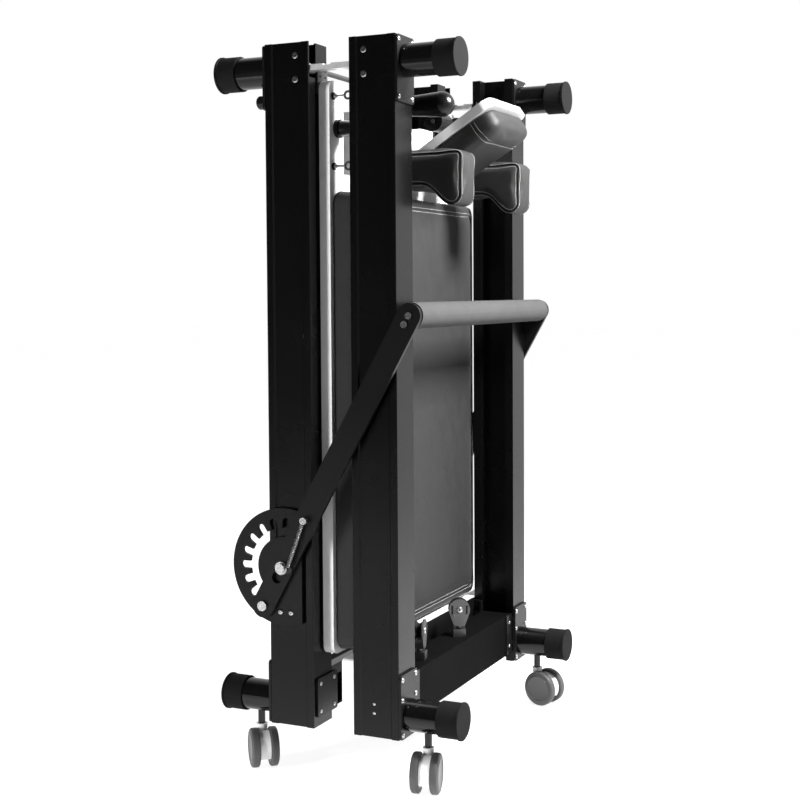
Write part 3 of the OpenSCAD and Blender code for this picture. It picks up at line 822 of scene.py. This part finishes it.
def press_groove(piece: bpy.types.Object, path: Sequence[Vector], width: float, depth: float) -> None:
    """Presses a seam channel into a soft piece along a path.

    Args:
        piece: the soft piece.
        path: the seam's points.
        width: half width of the channel.
        depth: its depth.
    """
    spans = [(i, i + 1, i) for i in range(len(path))]
    ring = BVHTree.FromPolygons([*path, path[0]], spans, all_triangles=True)
    mesh = piece.data
    normals = [v.normal.copy() for v in mesh.vertices]
    for vertex, normal in zip(mesh.vertices, normals):
        _, _, _, gap = ring.find_nearest(vertex.co, 3 * width)
        if gap is not None:
            vertex.co = vertex.co - normal * (depth * math.exp(-((gap / width) ** 2)))


def dense(path: Sequence[Vector], step: float = 4 * MM, closed: bool = True) -> List[Vector]:
    """A path with points no further apart than a step."""
    points: List[Vector] = []
    ends = [*path, path[0]] if closed else list(path)
    for a, b in zip(ends, ends[1:]):
        count = max(1, round((b - a).length / step))
        points.extend(a.lerp(b, i / count) for i in range(count))
    if not closed:
        points.append(ends[-1])
    return points


class SubAssembly:
    """A group of pieces that share one job."""

    def keep(self, piece: bpy.types.Object, body: str, slot: str, *nodes: str) -> bpy.types.Object:
        """Rides a piece on its body and reports it.

        Args:
            piece: the piece, in place.
            body: the CAD body that it moves with.
            slot: the record's material slot, which is not used.
            nodes: CAD nodes that it stands for.

        Returns:
            The piece.
        """
        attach(piece, body)
        if nodes:
            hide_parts(*nodes)
        LOG.info("%s: %s with %d faces", type(self).__name__, piece.name, len(piece.data.polygons))
        return piece


@dataclass
class CarriagePad(SubAssembly):
    """The long leather pad, its seam channel and two rows of stitches.

    Args:
        inset: how far the slack form stays under the CAD pad's face.
        overhang: how far it reaches past the CAD pad's edges.
        swell: the furthest that the filling moves its skin.
        seam_in: distance of the seam from the pad's edges.
        row_gap: distance from the seam to each row of stitches.
    """

    inset: float = 0.5 * MM
    overhang: float = 4 * MM
    swell: float = 4 * MM
    seam_in: float = 21 * MM
    row_gap: float = 4 * MM

    def ring(self, inset: float, x: float) -> List[Vector]:
        """A round rectangle on the pad's face, at a distance inside its edges."""
        low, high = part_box("carriage_pad")
        corner = 30 * MM - inset * 0.4
        outline = round_outline((low.y + inset, low.z + inset), (high.y - inset, high.z - inset), corner)
        return dense([Vector((x, u, v)) for u, v in outline])

    def build(self) -> None:
        """Builds the pad with its seam."""
        low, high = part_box("carriage_pad")
        gap, over = self.inset, self.overhang
        outline = round_outline((low.y - over, low.z - over), (high.y + over, high.z + over), 27 * MM)
        form = prism(outline, lambda u, v, w: Vector((low.x + w, u, v)), high.x - low.x - gap)
        form = rounded_form(form, 6 * MM, lambda co: co.x < low.x + MM)
        pad = puff(form, "carriage_pad_leather", lambda co: co.x < low.x + 4 * MM, 6 * MM, self.swell)
        seam = laid(self.ring(self.seam_in, high.x), surface_of(pad), 0.0)
        press_groove(pad, seam, 3.2 * MM, 2.2 * MM)
        self.keep(pad, "carriage", "leather", "carriage_pad")
        tree = surface_of(pad)
        rows = [laid(self.ring(self.seam_in + side * self.row_gap, high.x), tree, SEWN_LIFT)
                for side in (-1, 1)]
        stitches = sew("carriage_pad_stitches", rows)
        self.keep(stitches, "carriage", "leather")


def rounded_form(bm: bmesh.types.BMesh, radius: float, flat: Callable[[Vector], bool]) -> bmesh.types.BMesh:
    """Rounds the sharp edges of a slack form before it is filled.

    Args:
        bm: the form.
        radius: how round its edges become.
        flat: says whether a point is on the side that rests on a board, which stays sharp.

    Returns:
        The same form.
    """
    bmesh.ops.recalc_face_normals(bm, faces=bm.faces)
    sharp = [e for e in bm.edges if len(e.link_faces) == 2 and e.calc_face_angle(0.0) > 0.7
             and not (flat(e.verts[0].co) and flat(e.verts[1].co))]
    bmesh.ops.bevel(bm, geom=sharp, offset=radius, segments=6, profile=0.5, affect="EDGES")
    return bm


@dataclass
class Headrest(SubAssembly):
    """The tilting headrest's pad, with stitched seams, in the place that the CAD pad has.

    Args:
        lean: lean of the board above the horizontal, in degrees.
        hinge: X and Z of the hinge.
        board: thickness of the board.
        half_w: half width of the pad.
        low: start of the pad from the hinge.
        high: end of the pad from the hinge.
        depth: thickness of the pad.
        seam_in: distance of the seam from the pad's free end.
    """

    lean: float = 32.9
    hinge: Tuple[float, float] = (-10 * MM, 1142.4 * MM)
    board: float = 18 * MM
    half_w: float = 98 * MM
    low: float = 32 * MM
    high: float = 266 * MM
    depth: float = 44 * MM
    seam_in: float = 46 * MM

    def across(self, z: float) -> List[Vector]:
        """A line over the pad's sides and face, at a distance from the hinge."""
        low, high, x = -self.half_w, self.half_w, self.board + self.depth
        root, cut = self.board + 6 * MM, 8 * MM
        corners = ((root, low), (x - cut, low), (x, low + cut),
                   (x, high - cut), (x - cut, high), (root, high))
        return dense([Vector((u, v, z)) for u, v in corners], closed=False)

    def place(self) -> Matrix:
        """The matrix from the headrest's own frame to the machine's."""
        turn = Matrix.Rotation(math.radians(90 - self.lean), 4, "Y")
        return Matrix.Translation((self.hinge[0], 0.0, self.hinge[1])) @ turn

    def build(self) -> None:
        """Builds the pad, its seams and its stitches."""
        inset = 1.5 * MM
        low, high = (-self.half_w + inset, self.low + inset), (self.half_w - inset, self.high - inset)
        outline = round_outline(low, high, 24 * MM, 12)
        start = self.board
        form = prism(outline, lambda u, v, w: Vector((start + w, u, v)), self.depth - inset)
        form = rounded_form(form, 16 * MM, lambda co: co.x < start + MM)
        pad = puff(form, "headrest_pad_leather", lambda co: co.x < start + 3 * MM, 4 * MM, 3 * MM, 2.0, 9)
        tree = surface_of(pad)
        seam = self.across(self.high - self.seam_in)
        press_groove(pad, laid(seam, tree, 0.0), 3 * MM, 1.8 * MM)
        tree = surface_of(pad)
        rows = [laid(self.across(self.high - self.seam_in + side * 4 * MM), tree, SEWN_LIFT)
                for side in (-1, 1)]
        stitches = sew("headrest_stitches", rows)
        for piece in (pad, stitches):
            piece.data.transform(self.place())
            self.keep(piece, "headrest", "leather", *(("headrest_pad",) if piece is pad else ()))


@dataclass
class ShoulderRests(SubAssembly):
    """Two leather shoulder rests with a piped end panel.

    Args:
        across: Y of each rest's middle.
        half_w: half width of a rest.
        tip: X of the end panel.
        root: X of the pad's face.
        middle: Z of the rests.
    """

    across: float = 155 * MM
    half_w: float = 38 * MM
    tip: float = 208 * MM
    root: float = 32 * MM
    middle: float = 1132 * MM

    def outline(self) -> Outline:
        """The side view: a narrow neck that deepens in a curve towards the end panel."""
        z = self.middle
        points: Outline = [(self.root + MM, z + 53 * MM)]
        for step in range(7):
            a = math.pi / 2 * (1 - step / 6)
            points.append((self.tip - 16 * MM + 14 * MM * math.cos(a), z + 39 * MM + 14 * MM * math.sin(a)))
        for step in range(9):
            a = -math.pi / 2 * step / 8
            points.append((self.tip - 24 * MM + 22 * MM * math.cos(a), z - 31 * MM + 22 * MM * math.sin(a)))
        for step in range(1, 9):
            t = step / 8
            ease = t * t * (3 - 2 * t)
            points.append((self.tip - (24 + 62 * t) * MM, z - (53 - 37 * ease) * MM))
        points.append((self.root + MM, z - 16 * MM))
        return points

    def seam(self, side: int, inward: float, outward: float) -> List[Vector]:
        """A line along the edge between a side panel and the band that wraps round the end.

        Args:
            side: -1 or 1, for the side panel.
            inward: how far the line lies inside the side view's outline.
            outward: how far it lies beyond the side panel's face.

        Returns:
            Its points, open at the neck.
        """
        outline = self.outline()
        points = []
        for i, (x, z) in enumerate(outline):
            before, after = outline[max(i - 1, 0)], outline[min(i + 1, len(outline) - 1)]
            along = Vector((after[0] - before[0], 0.0, after[1] - before[1])).normalized()
            inner = Vector((along.z, 0.0, -along.x))
            points.append(Vector((x, side * (self.half_w + outward), z)) + inner * inward)
        return dense(points, 4 * MM, False)

    def build(self) -> None:
        """Fills one rest and copies it to the other side."""
        half = self.half_w - 2.5 * MM
        form = prism(self.outline(), lambda u, v, w: Vector((u, w - half, v)), 2 * half)
        form = rounded_form(form, 6 * MM, lambda co: co.x < self.root + 2 * MM)
        rest = puff(form, "shoulder_rest_near_leather", lambda co: co.x < self.root + 4 * MM, 4 * MM, 4 * MM)
        tree = surface_of(rest)
        edges = [laid(self.seam(side, 0.0, 0.5 * MM), tree, 0.4 * MM) for side in (-1, 1)]
        pipes = bmesh.new()
        for edge in edges:
            tube(edge, 1.5 * MM, 8, pipes)
        piping = new_piece("shoulder_piping_near", pipes, BLACK_PLASTIC)
        rows = [laid(self.seam(side, inward, outward), tree, 0.2 * MM)
                for side in (-1, 1) for inward, outward in ((6.5 * MM, 3 * MM), (-3 * MM, -6.5 * MM))]
        stitches = sew("shoulder_stitches_near", rows, 4.2 * MM, 2.8 * MM, 0.5 * MM)
        for piece in (rest, piping, stitches):
            twin = placed(piece.name.replace("near", "far"), piece.data.copy())
            for side, copy in ((-1, piece), (1, twin)):
                copy.data.transform(Matrix.Translation((0.0, side * self.across, 0.0)))
                node = "shoulder_rest_near" if side < 0 else "shoulder_rest_far"
                self.keep(copy, "carriage", "leather", *((node,) if piece is rest else ()))


# ---------------------------------------------------------------- hardware


class Skin(SubAssembly):
    """Finishes of the CAD nodes that keep their own shape."""

    def build(self, finishes: Dict[str, Finish], rounded: Dict[str, float]) -> None:
        """Dresses the nodes.

        Args:
            finishes: the finish of each node.
            rounded: width of the rounded edges of some nodes.
        """
        for node, finish in finishes.items():
            mesh = frame["nodes"][node].data
            mesh.materials.clear()
            mesh.materials.append(finish.material())
            LOG.info("Skin: %s in %s", node, finish.name)
        for node, width in rounded.items():
            bevel = frame["nodes"][node].modifiers.new("edges", "BEVEL")
            bevel.width = width
            bevel.segments = 2
            bevel.angle_limit = math.radians(40)
            bevel.harden_normals = True


@dataclass
class Screws(SubAssembly):
    """Button head screws in the places of the CAD screws.

    Args:
        inner_x: half width of the strip between the halves, where every screw looks along +X.
    """

    inner_x: float = 60 * MM

    def islands(self, node: str) -> List[Tuple[Vector, Vector]]:
        """Lowest and highest corner of each separate solid of a node."""
        bm = bmesh.new()
        bm.from_mesh(frame["nodes"][node].data)
        bmesh.ops.remove_doubles(bm, verts=bm.verts, dist=1e-6)
        boxes = []
        left = set(bm.verts)
        while left:
            stack = [left.pop()]
            island = list(stack)
            while stack:
                for edge in stack.pop().link_edges:
                    for vertex in edge.verts:
                        if vertex in left:
                            left.remove(vertex)
                            stack.append(vertex)
                            island.append(vertex)
            low = Vector([min(v.co[i] for v in island) for i in range(3)])
            high = Vector([max(v.co[i] for v in island) for i in range(3)])
            boxes.append((low, high))
        bm.free()
        return boxes

    def build(self) -> None:
        """Builds one piece of screws for each node and size."""
        for node, body in (("foot_screws", "foot_half"), ("head_screws", "head_half")):
            sizes: Dict[int, List[Tuple[Vector, Vector]]] = {}
            for low, high in self.islands(node):
                size = high - low
                axis = min(range(3), key=lambda i: size[i])
                centre = (low + high) / 2
                inner = axis == 0 and -self.inner_x < centre.x < self.inner_x
                sign = 1.0 if inner or centre[axis] > 0 else -1.0
                facing = Vector([sign if i == axis else 0.0 for i in range(3)])
                seat = centre - facing * (size[axis] / 2)
                sizes.setdefault(round(max(size) / MM), []).append((seat, facing))
            for diameter, places in sorted(sizes.items()):
                piece = screw_set(f"{node}_{diameter}", diameter * MM / 2, places)
                nodes = (node,) if diameter == max(sizes) else ()
                self.keep(piece, body, "steel", *nodes)


@dataclass
class Springs(SubAssembly):
    """Coil springs in the places of the CAD rods.

    Args:
        turns: turns of a resistance spring.
        rod: radius of its CAD rod.
        coil_r: its radius, to the middle of the wire.
        wire: radius of its wire.
        bar_turns: turns of a foot bar spring.
        bar_rod: radius of its CAD rod.
        bar_coil_r: its radius, to the middle of the wire.
        bar_wire: radius of its wire.
    """

    turns: float = 17.0
    rod: float = 9 * MM
    coil_r: float = 7.4 * MM
    wire: float = 1.5 * MM
    bar_turns: float = 26.0
    bar_rod: float = 4.5 * MM
    bar_coil_r: float = 3.6 * MM
    bar_wire: float = 0.9 * MM

    def build(self) -> None:
        """Builds the springs under the carriage and at the foot bar."""
        low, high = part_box("resistance_springs")
        rod = self.rod
        pitch = (high.y - low.y - 2 * rod) / 4
        coils = []
        for i in range(5):
            x, y = low.x + rod, low.y + rod + i * pitch
            ends = Vector((x, y, low.z)), Vector((x, y, high.z))
            coils.append(coil(f"resistance_{i}", *ends, self.coil_r, self.wire, self.turns))
        self.keep(merged("resistance_coils", coils), "carriage", "steel", "resistance_springs")
        low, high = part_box("foot_bar_springs")
        pair = []
        for y in (low.y + self.bar_rod, high.y - self.bar_rod):
            start = Vector((low.x + 4.4 * MM, y, low.z + 2 * MM))
            end = Vector((high.x - 4.4 * MM, y, high.z - 2 * MM))
            name = f"bar_coil_{len(pair)}"
            pair.append(coil(name, start, end, self.bar_coil_r, self.bar_wire, self.bar_turns))
        self.keep(merged("foot_bar_coils", pair), "foot_bar", "steel", "foot_bar_springs")


def merged(name: str, pieces: Sequence[bpy.types.Object]) -> bpy.types.Object:
    """Joins pieces of one finish into one piece."""
    bm = bmesh.new()
    for piece in pieces:
        bm.from_mesh(piece.data)
    finish = pieces[0].data.materials[0]
    mesh = bpy.data.meshes.new(name)
    bm.to_mesh(mesh)
    bm.free()
    mesh.materials.append(finish)
    mesh.shade_smooth()
    mesh.set_sharp_from_angle(angle=math.radians(40))
    for piece in pieces:
        bpy.data.objects.remove(piece)
    return placed(name, mesh)


@dataclass
class Casters(SubAssembly):
    """Twin caster wheels: rubber tyres and pale discs with a rim and a hub cap.

    Args:
        radius: radius of a tyre.
        width: width of a wheel.
        hub: half of the gap between the wheels.
    """

    radius: float = 37.5 * MM
    width: float = 16 * MM
    hub: float = 10.8 * MM

    def build(self) -> None:
        """Builds the wheels of the four casters."""
        for joint in frame["joints"]:
            name = joint["name"]
            if not (name.startswith("wheels_") and name.endswith("_spin")):
                continue
            key = name.split("_")[1]
            node = f"caster_wheels_{key}"
            axis = Vector(joint["axis"])
            place = axis_to(axis, middle(node))
            r, w, g = self.radius, self.width, self.hub
            tyre = bmesh.new()
            disc = bmesh.new()
            for side in (1, -1):
                flip = place @ Matrix.Diagonal((1.0, 1.0, float(side), 1.0))
                lathe([(r - 9 * MM, g), (r - 2 * MM, g), (r, g + 2 * MM), (r, g + w - 5 * MM),
                       (r - 1 * MM, g + w - 2.5 * MM), (r - 3.5 * MM, g + w - MM), (r - 9 * MM, g + w - MM),
                       (r - 9 * MM, g)], flip, 56, tyre)
                face = g + w
                lathe([(0.0, g), (r - 9 * MM, g), (r - 9 * MM, face - 1.5 * MM),
                       (r - 9.6 * MM, face - 0.4 * MM), (r - 11 * MM, face),
                       (r - 12 * MM, face - 0.8 * MM), (r - 13 * MM, face - 1.2 * MM),
                       (0.0, face - 0.6 * MM)], flip, 48, disc)
            lathe([(0.0, -g), (3.95 * MM, -g), (3.95 * MM, g), (0.0, g)], place, 24, disc)
            tyres = new_piece(f"caster_tyres_{key}", tyre, CASTER_TYRE)
            self.keep(tyres, f"wheels_{key}", "caster_tyre", node)
            self.keep(new_piece(f"caster_discs_{key}", disc, DISC_GREY), f"wheels_{key}", "caster_grey")


@dataclass
class Fittings(SubAssembly):
    """Small fittings of the carriage: pegs, rope eyelets and the headrest's hinge pin.

    Args:
        face: X of the carriage board's upper face.
        peg: Y and Z of the pegs.
        eye_y: Y of the eyelets.
        eye_zs: Z of the eyelets.
        pin: radius of the hinge pin.
        pin_end: Y of the pin's ends.
        knuckle: Y of the knuckles' inner faces.
    """

    face: float = -16 * MM
    peg: Tuple[float, float] = (270 * MM, 1225 * MM)
    eye_y: float = 288 * MM
    eye_zs: Tuple[float, float] = (1284 * MM, 1153 * MM)
    pin: float = 4 * MM
    pin_end: float = 109 * MM
    knuckle: float = 103 * MM

    def along_x(self, y: float, z: float) -> Matrix:
        """The matrix that takes +Z to +X at a point of the board's face."""
        return axis_to(Vector((1.0, 0.0, 0.0)), Vector((self.face, y, z)))

    def build(self) -> None:
        """Builds the fittings in place of the CAD node."""
        pegs, washers, stems, rings = (bmesh.new() for _ in range(4))
        for side in (-1, 1):
            lathe(in_mm((0.0, 0.0), (17.5, 0.0), (17.5, 8), (15.5, 10), (15.5, 34), (17.5, 37), (17.5, 43),
                        (15, 46), (0.0, 46)), self.along_x(side * self.peg[0], self.peg[1]), 40, pegs)
            for z in self.eye_zs:
                place = self.along_x(side * self.eye_y, z)
                lathe(in_mm((0.0, 0.0), (7, 0.0), (7, 3), (6, 4), (0.0, 4)), place, 28, washers)
                lathe(in_mm((0.0, 4), (4.6, 4), (4.6, 8), (2.6, 9), (2.6, 25), (0.0, 25)), place, 20, stems)
                centre = Vector((self.face + 32 * MM, side * self.eye_y, z))
                circle = [centre + 6.7 * MM * Vector((math.cos(a), 0.0, math.sin(a)))
                          for a in (2 * math.pi * i / 28 for i in range(30))]
                tube(circle, 2.2 * MM, 10, rings)
        hinge = bmesh.new()
        x, z = Headrest.hinge
        pin, end = self.pin, self.pin_end
        lathe([(0.0, -end), (pin, -end), (pin, end), (0.0, end)],
              axis_to(Vector((0.0, 1.0, 0.0)), Vector((x, 0.0, z))), 24, hinge)
        for side in (-1, 1):
            outline = round_outline((self.face, z - 8 * MM), (x + 6 * MM, z + 8 * MM), 3 * MM, 4)
            knuckle = prism(outline, lambda u, v, w, s=side: Vector((u, s * (self.knuckle + w), v)), 6 * MM)
            mesh = bpy.data.meshes.new("knuckle")
            knuckle.to_mesh(mesh)
            knuckle.free()
            hinge.from_mesh(mesh)
            bpy.data.meshes.remove(mesh)
        for name, form, finish, slot, *nodes in (
                ("rope_pegs", pegs, BLACK_PLASTIC, "black_plastic", "carriage_fittings"),
                ("rope_eye_washers", washers, BLACK_PLASTIC, "black_plastic"),
                ("rope_eye_stems", stems, ZINC, "steel"),
                ("rope_eye_rings", rings, DARK_STEEL, "dark_steel"),
                ("headrest_hinge", hinge, DARK_STEEL, "dark_steel")):
            self.keep(new_piece(name, form, finish), "carriage", slot, *nodes)


@dataclass
class Platform(SubAssembly):
    """Black backing on the platform's upper face, between the rails.

    Args:
        depth: its thickness.
        border: white edge left above and below it.
        gap: gap to the rails at its ends.
    """

    depth: float = 0.5 * MM
    border: float = 2 * MM
    gap: float = 0.2 * MM

    def build(self) -> None:
        """Builds the backing on the board."""
        low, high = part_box("platform_board")
        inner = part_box("head_end_beam")[1].y - self.gap
        outline = round_outline((-inner, low.z + self.border), (inner, high.z - self.border), 3 * MM)
        backing = prism(outline, lambda u, v, w: Vector((high.x + w, u, v)), self.depth)
        self.keep(new_piece("platform_backing", backing, PLATE_BLACK), "head_half", "plate_black")


@dataclass
class Pulleys(SubAssembly):
    """Axle bolts of the two rope pulleys.

    Args:
        head: radius of a bolt's head.
        reach: distance from the wheel's middle to the outer face of a side plate.
    """

    head: float = 6.5 * MM
    reach: float = 11 * MM

    def build(self) -> None:
        """Builds a bolt head on both faces of each block."""
        for key in ("near", "far"):
            joint = next(j for j in frame["joints"] if j["name"] == f"sheave_{key}_spin")
            axis = Vector(joint["axis"])
            centre = middle(f"pulley_sheave_{key}")
            places = [(centre + axis * side * self.reach, axis * side) for side in (-1.0, 1.0)]
            self.keep(screw_set(f"pulley_bolts_{key}", self.head, places), f"pulley_{key}", "steel")


# ---------------------------------------------------------------- studio


@dataclass(frozen=True)
class Lamp:
    """A rectangular area light that the camera doesn't see.

    Args:
        name: its name.
        place: where it is.
        target: the point that it faces.
        size: its width and height.
        power: its power in watts.
        glossy: whether it shows in reflections.
    """

    name: str
    place: Triple
    target: Triple
    size: Tuple[float, float]
    power: float
    glossy: bool = True

    def build(self) -> None:
        """Adds the light."""
        data = bpy.data.lights.new(self.name, "AREA")
        data.shape = "RECTANGLE"
        data.size, data.size_y = self.size
        data.energy = self.power
        lamp = placed(self.name, data)
        lamp.matrix_world = axis_to(Vector(self.place) - Vector(self.target), Vector(self.place))
        lamp.visible_camera = False
        lamp.visible_glossy = self.glossy


LAMPS = (
    Lamp("key", (1.35, 0.02, 1.95), (0.1, 0.0, 0.8), (0.5, 0.5), 140.0),
    Lamp("edge", (2.0, -1.55, 0.95), (-0.1, -0.3, 0.8), (0.45, 2.0), 2.0),
    Lamp("side", (-1.4, -2.4, 0.9), (-0.03, -0.26, 0.7), (0.4, 1.6), 90.0, glossy=False),
)


@dataclass
class Studio:
    """Camera, floor, backdrop and lights.

    Args:
        eye: the camera's place.
        azimuth: its bearing round the machine, in degrees.
        pitch: how far it looks down, in degrees.
        roll: its roll, in degrees.
        lens: focal length in millimetres on a 36 mm sensor.
        shift: vertical shift, as a share of the frame.
        dim: strength of the surroundings on the near side.
        dark_to: how far round, as the Y of a direction, the dim side reaches.
        white_from: where, as the Y of a direction, the white side begins.
        half_floor: half width of the floor.
    """

    eye: Triple = (1.2012, -2.5883, 0.918)
    azimuth: float = 25.179
    pitch: float = 2.705
    roll: float = -0.352
    lens: float = 62.09
    shift: float = -0.054
    dim: float = 0.03
    dark_to: float = -0.05
    white_from: float = 0.55
    half_floor: float = 30.0

    def camera(self) -> None:
        """Places the camera."""
        data = bpy.data.cameras.new("camera")
        data.lens = self.lens
        data.sensor_width = 36.0
        data.shift_y = self.shift
        rig = placed("camera", data)
        az, tip, roll = (math.radians(a) for a in (self.azimuth, self.pitch, self.roll))
        back = Vector((math.sin(az) * math.cos(tip), -math.cos(az) * math.cos(tip), math.sin(tip)))
        right = (-back).cross(Vector((0.0, 0.0, 1.0))).normalized()
        up = right.cross(-back)
        right, up = (right * math.cos(roll) + up * math.sin(roll),
                     up * math.cos(roll) - right * math.sin(roll))
        turn = Matrix((right, up, back)).transposed().to_4x4()
        rig.matrix_world = Matrix.Translation(self.eye) @ turn
        bpy.context.scene.camera = rig

    def backdrop(self) -> None:
        """Builds the pale floor and the pale surroundings."""
        bm = bmesh.new()
        bmesh.ops.create_grid(bm, x_segments=1, y_segments=1, size=self.half_floor)
        paper = Finish("studio_paper", Grain.PAPER, 0.4, 0.9, 0.0)
        floor = new_piece("studio_floor", bm, paper)
        floor.location.z = -MM
        world = bpy.data.worlds.new("studio")
        bpy.context.scene.world = world
        world.use_nodes = True
        tree = world.node_tree
        tree.nodes.clear()
        where = tree.nodes.new("ShaderNodeTexCoord")
        parts = tree.nodes.new("ShaderNodeSeparateXYZ")
        ramp = tree.nodes.new("ShaderNodeMapRange")
        paint = tree.nodes.new("ShaderNodeBackground")
        output = tree.nodes.new("ShaderNodeOutputWorld")
        tree.links.new(where.outputs["Generated"], parts.inputs[0])
        tree.links.new(parts.outputs["Y"], ramp.inputs[0])
        ends = {"From Min": self.dark_to, "From Max": self.white_from, "To Min": self.dim, "To Max": 1.0}
        for key, value in ends.items():
            ramp.inputs[key].default_value = value
        paint.inputs["Color"].default_value = (1.0, 1.0, 1.0, 1.0)
        tree.links.new(ramp.outputs[0], paint.inputs["Strength"])
        tree.links.new(paint.outputs[0], output.inputs[0])

    def build(self) -> None:
        """Builds the studio."""
        bpy.context.scene.view_settings.view_transform = "Standard"
        self.camera()
        self.backdrop()
        for lamp in LAMPS:
            lamp.build()
        LOG.info("Studio: camera, floor and %d lamps", len(LAMPS))


FINISHES: Dict[str, Finish] = {
    **dict.fromkeys(("foot_rail_near", "foot_rail_far", "head_rail_near", "head_rail_far"), RAIL_BLACK),
    **dict.fromkeys(("foot_end_beam", "head_end_beam"), BEAM_BLACK),
    **dict.fromkeys(("foot_plates", "head_plates", "head_corner_brackets",
                     "quadrant_near", "quadrant_far", "foot_bar_arm_near", "foot_bar_arm_far"), PLATE_BLACK),
    **dict.fromkeys(("foot_legs", "head_legs"), TUBE_BLACK),
    **dict.fromkeys(("foot_leg_caps", "head_leg_caps"), CAP_RUBBER),
    **dict.fromkeys(("foot_knob", "pivot_bushes", "carriage_grips", "headrest_roller", "pulley_sheave_near",
                     "pulley_sheave_far"), BLACK_PLASTIC),
    **dict.fromkeys(("foot_bar_pivots", "foot_bar_fasteners", "head_hinge_pins", "foot_screws", "head_screws",
                     "resistance_springs", "foot_bar_springs"), ZINC),
    **dict.fromkeys(("pulley_posts", "pulley_block_near", "pulley_block_far"), CAST_SILVER),
    "hinge_links": LINK_SILVER,
    **dict.fromkeys(("spring_bar", "foot_hinge_leaves", "fold_shaft", "head_hinge_leaves", "carriage_frame",
                     "headrest_prop", "foot_bar_tube", "carriage_fittings"), DARK_STEEL),
    **dict.fromkeys(("carriage_board", "platform_board", "headrest_board"), WHITE_BOARD),
    **dict.fromkeys(("carriage_pad", "headrest_pad", "shoulder_rest_near", "shoulder_rest_far"), LEATHER),
    "foot_bar_grip": FOAM,
    **dict.fromkeys(("carriage_rollers_upper", "carriage_rollers_lower"), ROLLER_GREY),
    **{f"caster_fork_{key}": CASTER_GREY for key in ("fn", "ff", "hn", "hf")},
    **{f"caster_wheels_{key}": CASTER_TYRE for key in ("fn", "ff", "hn", "hf")},
}

ROUNDED: Dict[str, float] = {
    **dict.fromkeys(("foot_rail_near", "foot_rail_far", "head_rail_near", "head_rail_far"), 0.8 * MM),
    **dict.fromkeys(("carriage_board", "platform_board", "headrest_board"), 1.2 * MM),
    **dict.fromkeys(("quadrant_near", "quadrant_far", "foot_bar_arm_near", "foot_bar_arm_far"), 0.7 * MM),
    **dict.fromkeys(("foot_end_beam", "head_end_beam", "foot_plates", "head_plates"), 0.8 * MM),
    **dict.fromkeys(("pulley_block_near", "pulley_block_far", "hinge_links"), 0.5 * MM),
}


def main() -> None:
    """Builds the sub-assemblies in order."""
    logging.basicConfig(level=logging.INFO, format="%(message)s")
    Skin().build(FINISHES, ROUNDED)
    CarriagePad().build()
    Headrest().build()
    ShoulderRests().build()
    Screws().build()
    Springs().build()
    Casters().build()
    Fittings().build()
    Platform().build()
    Pulleys().build()
    Studio().build()


if __name__ == "__main__":
    main()
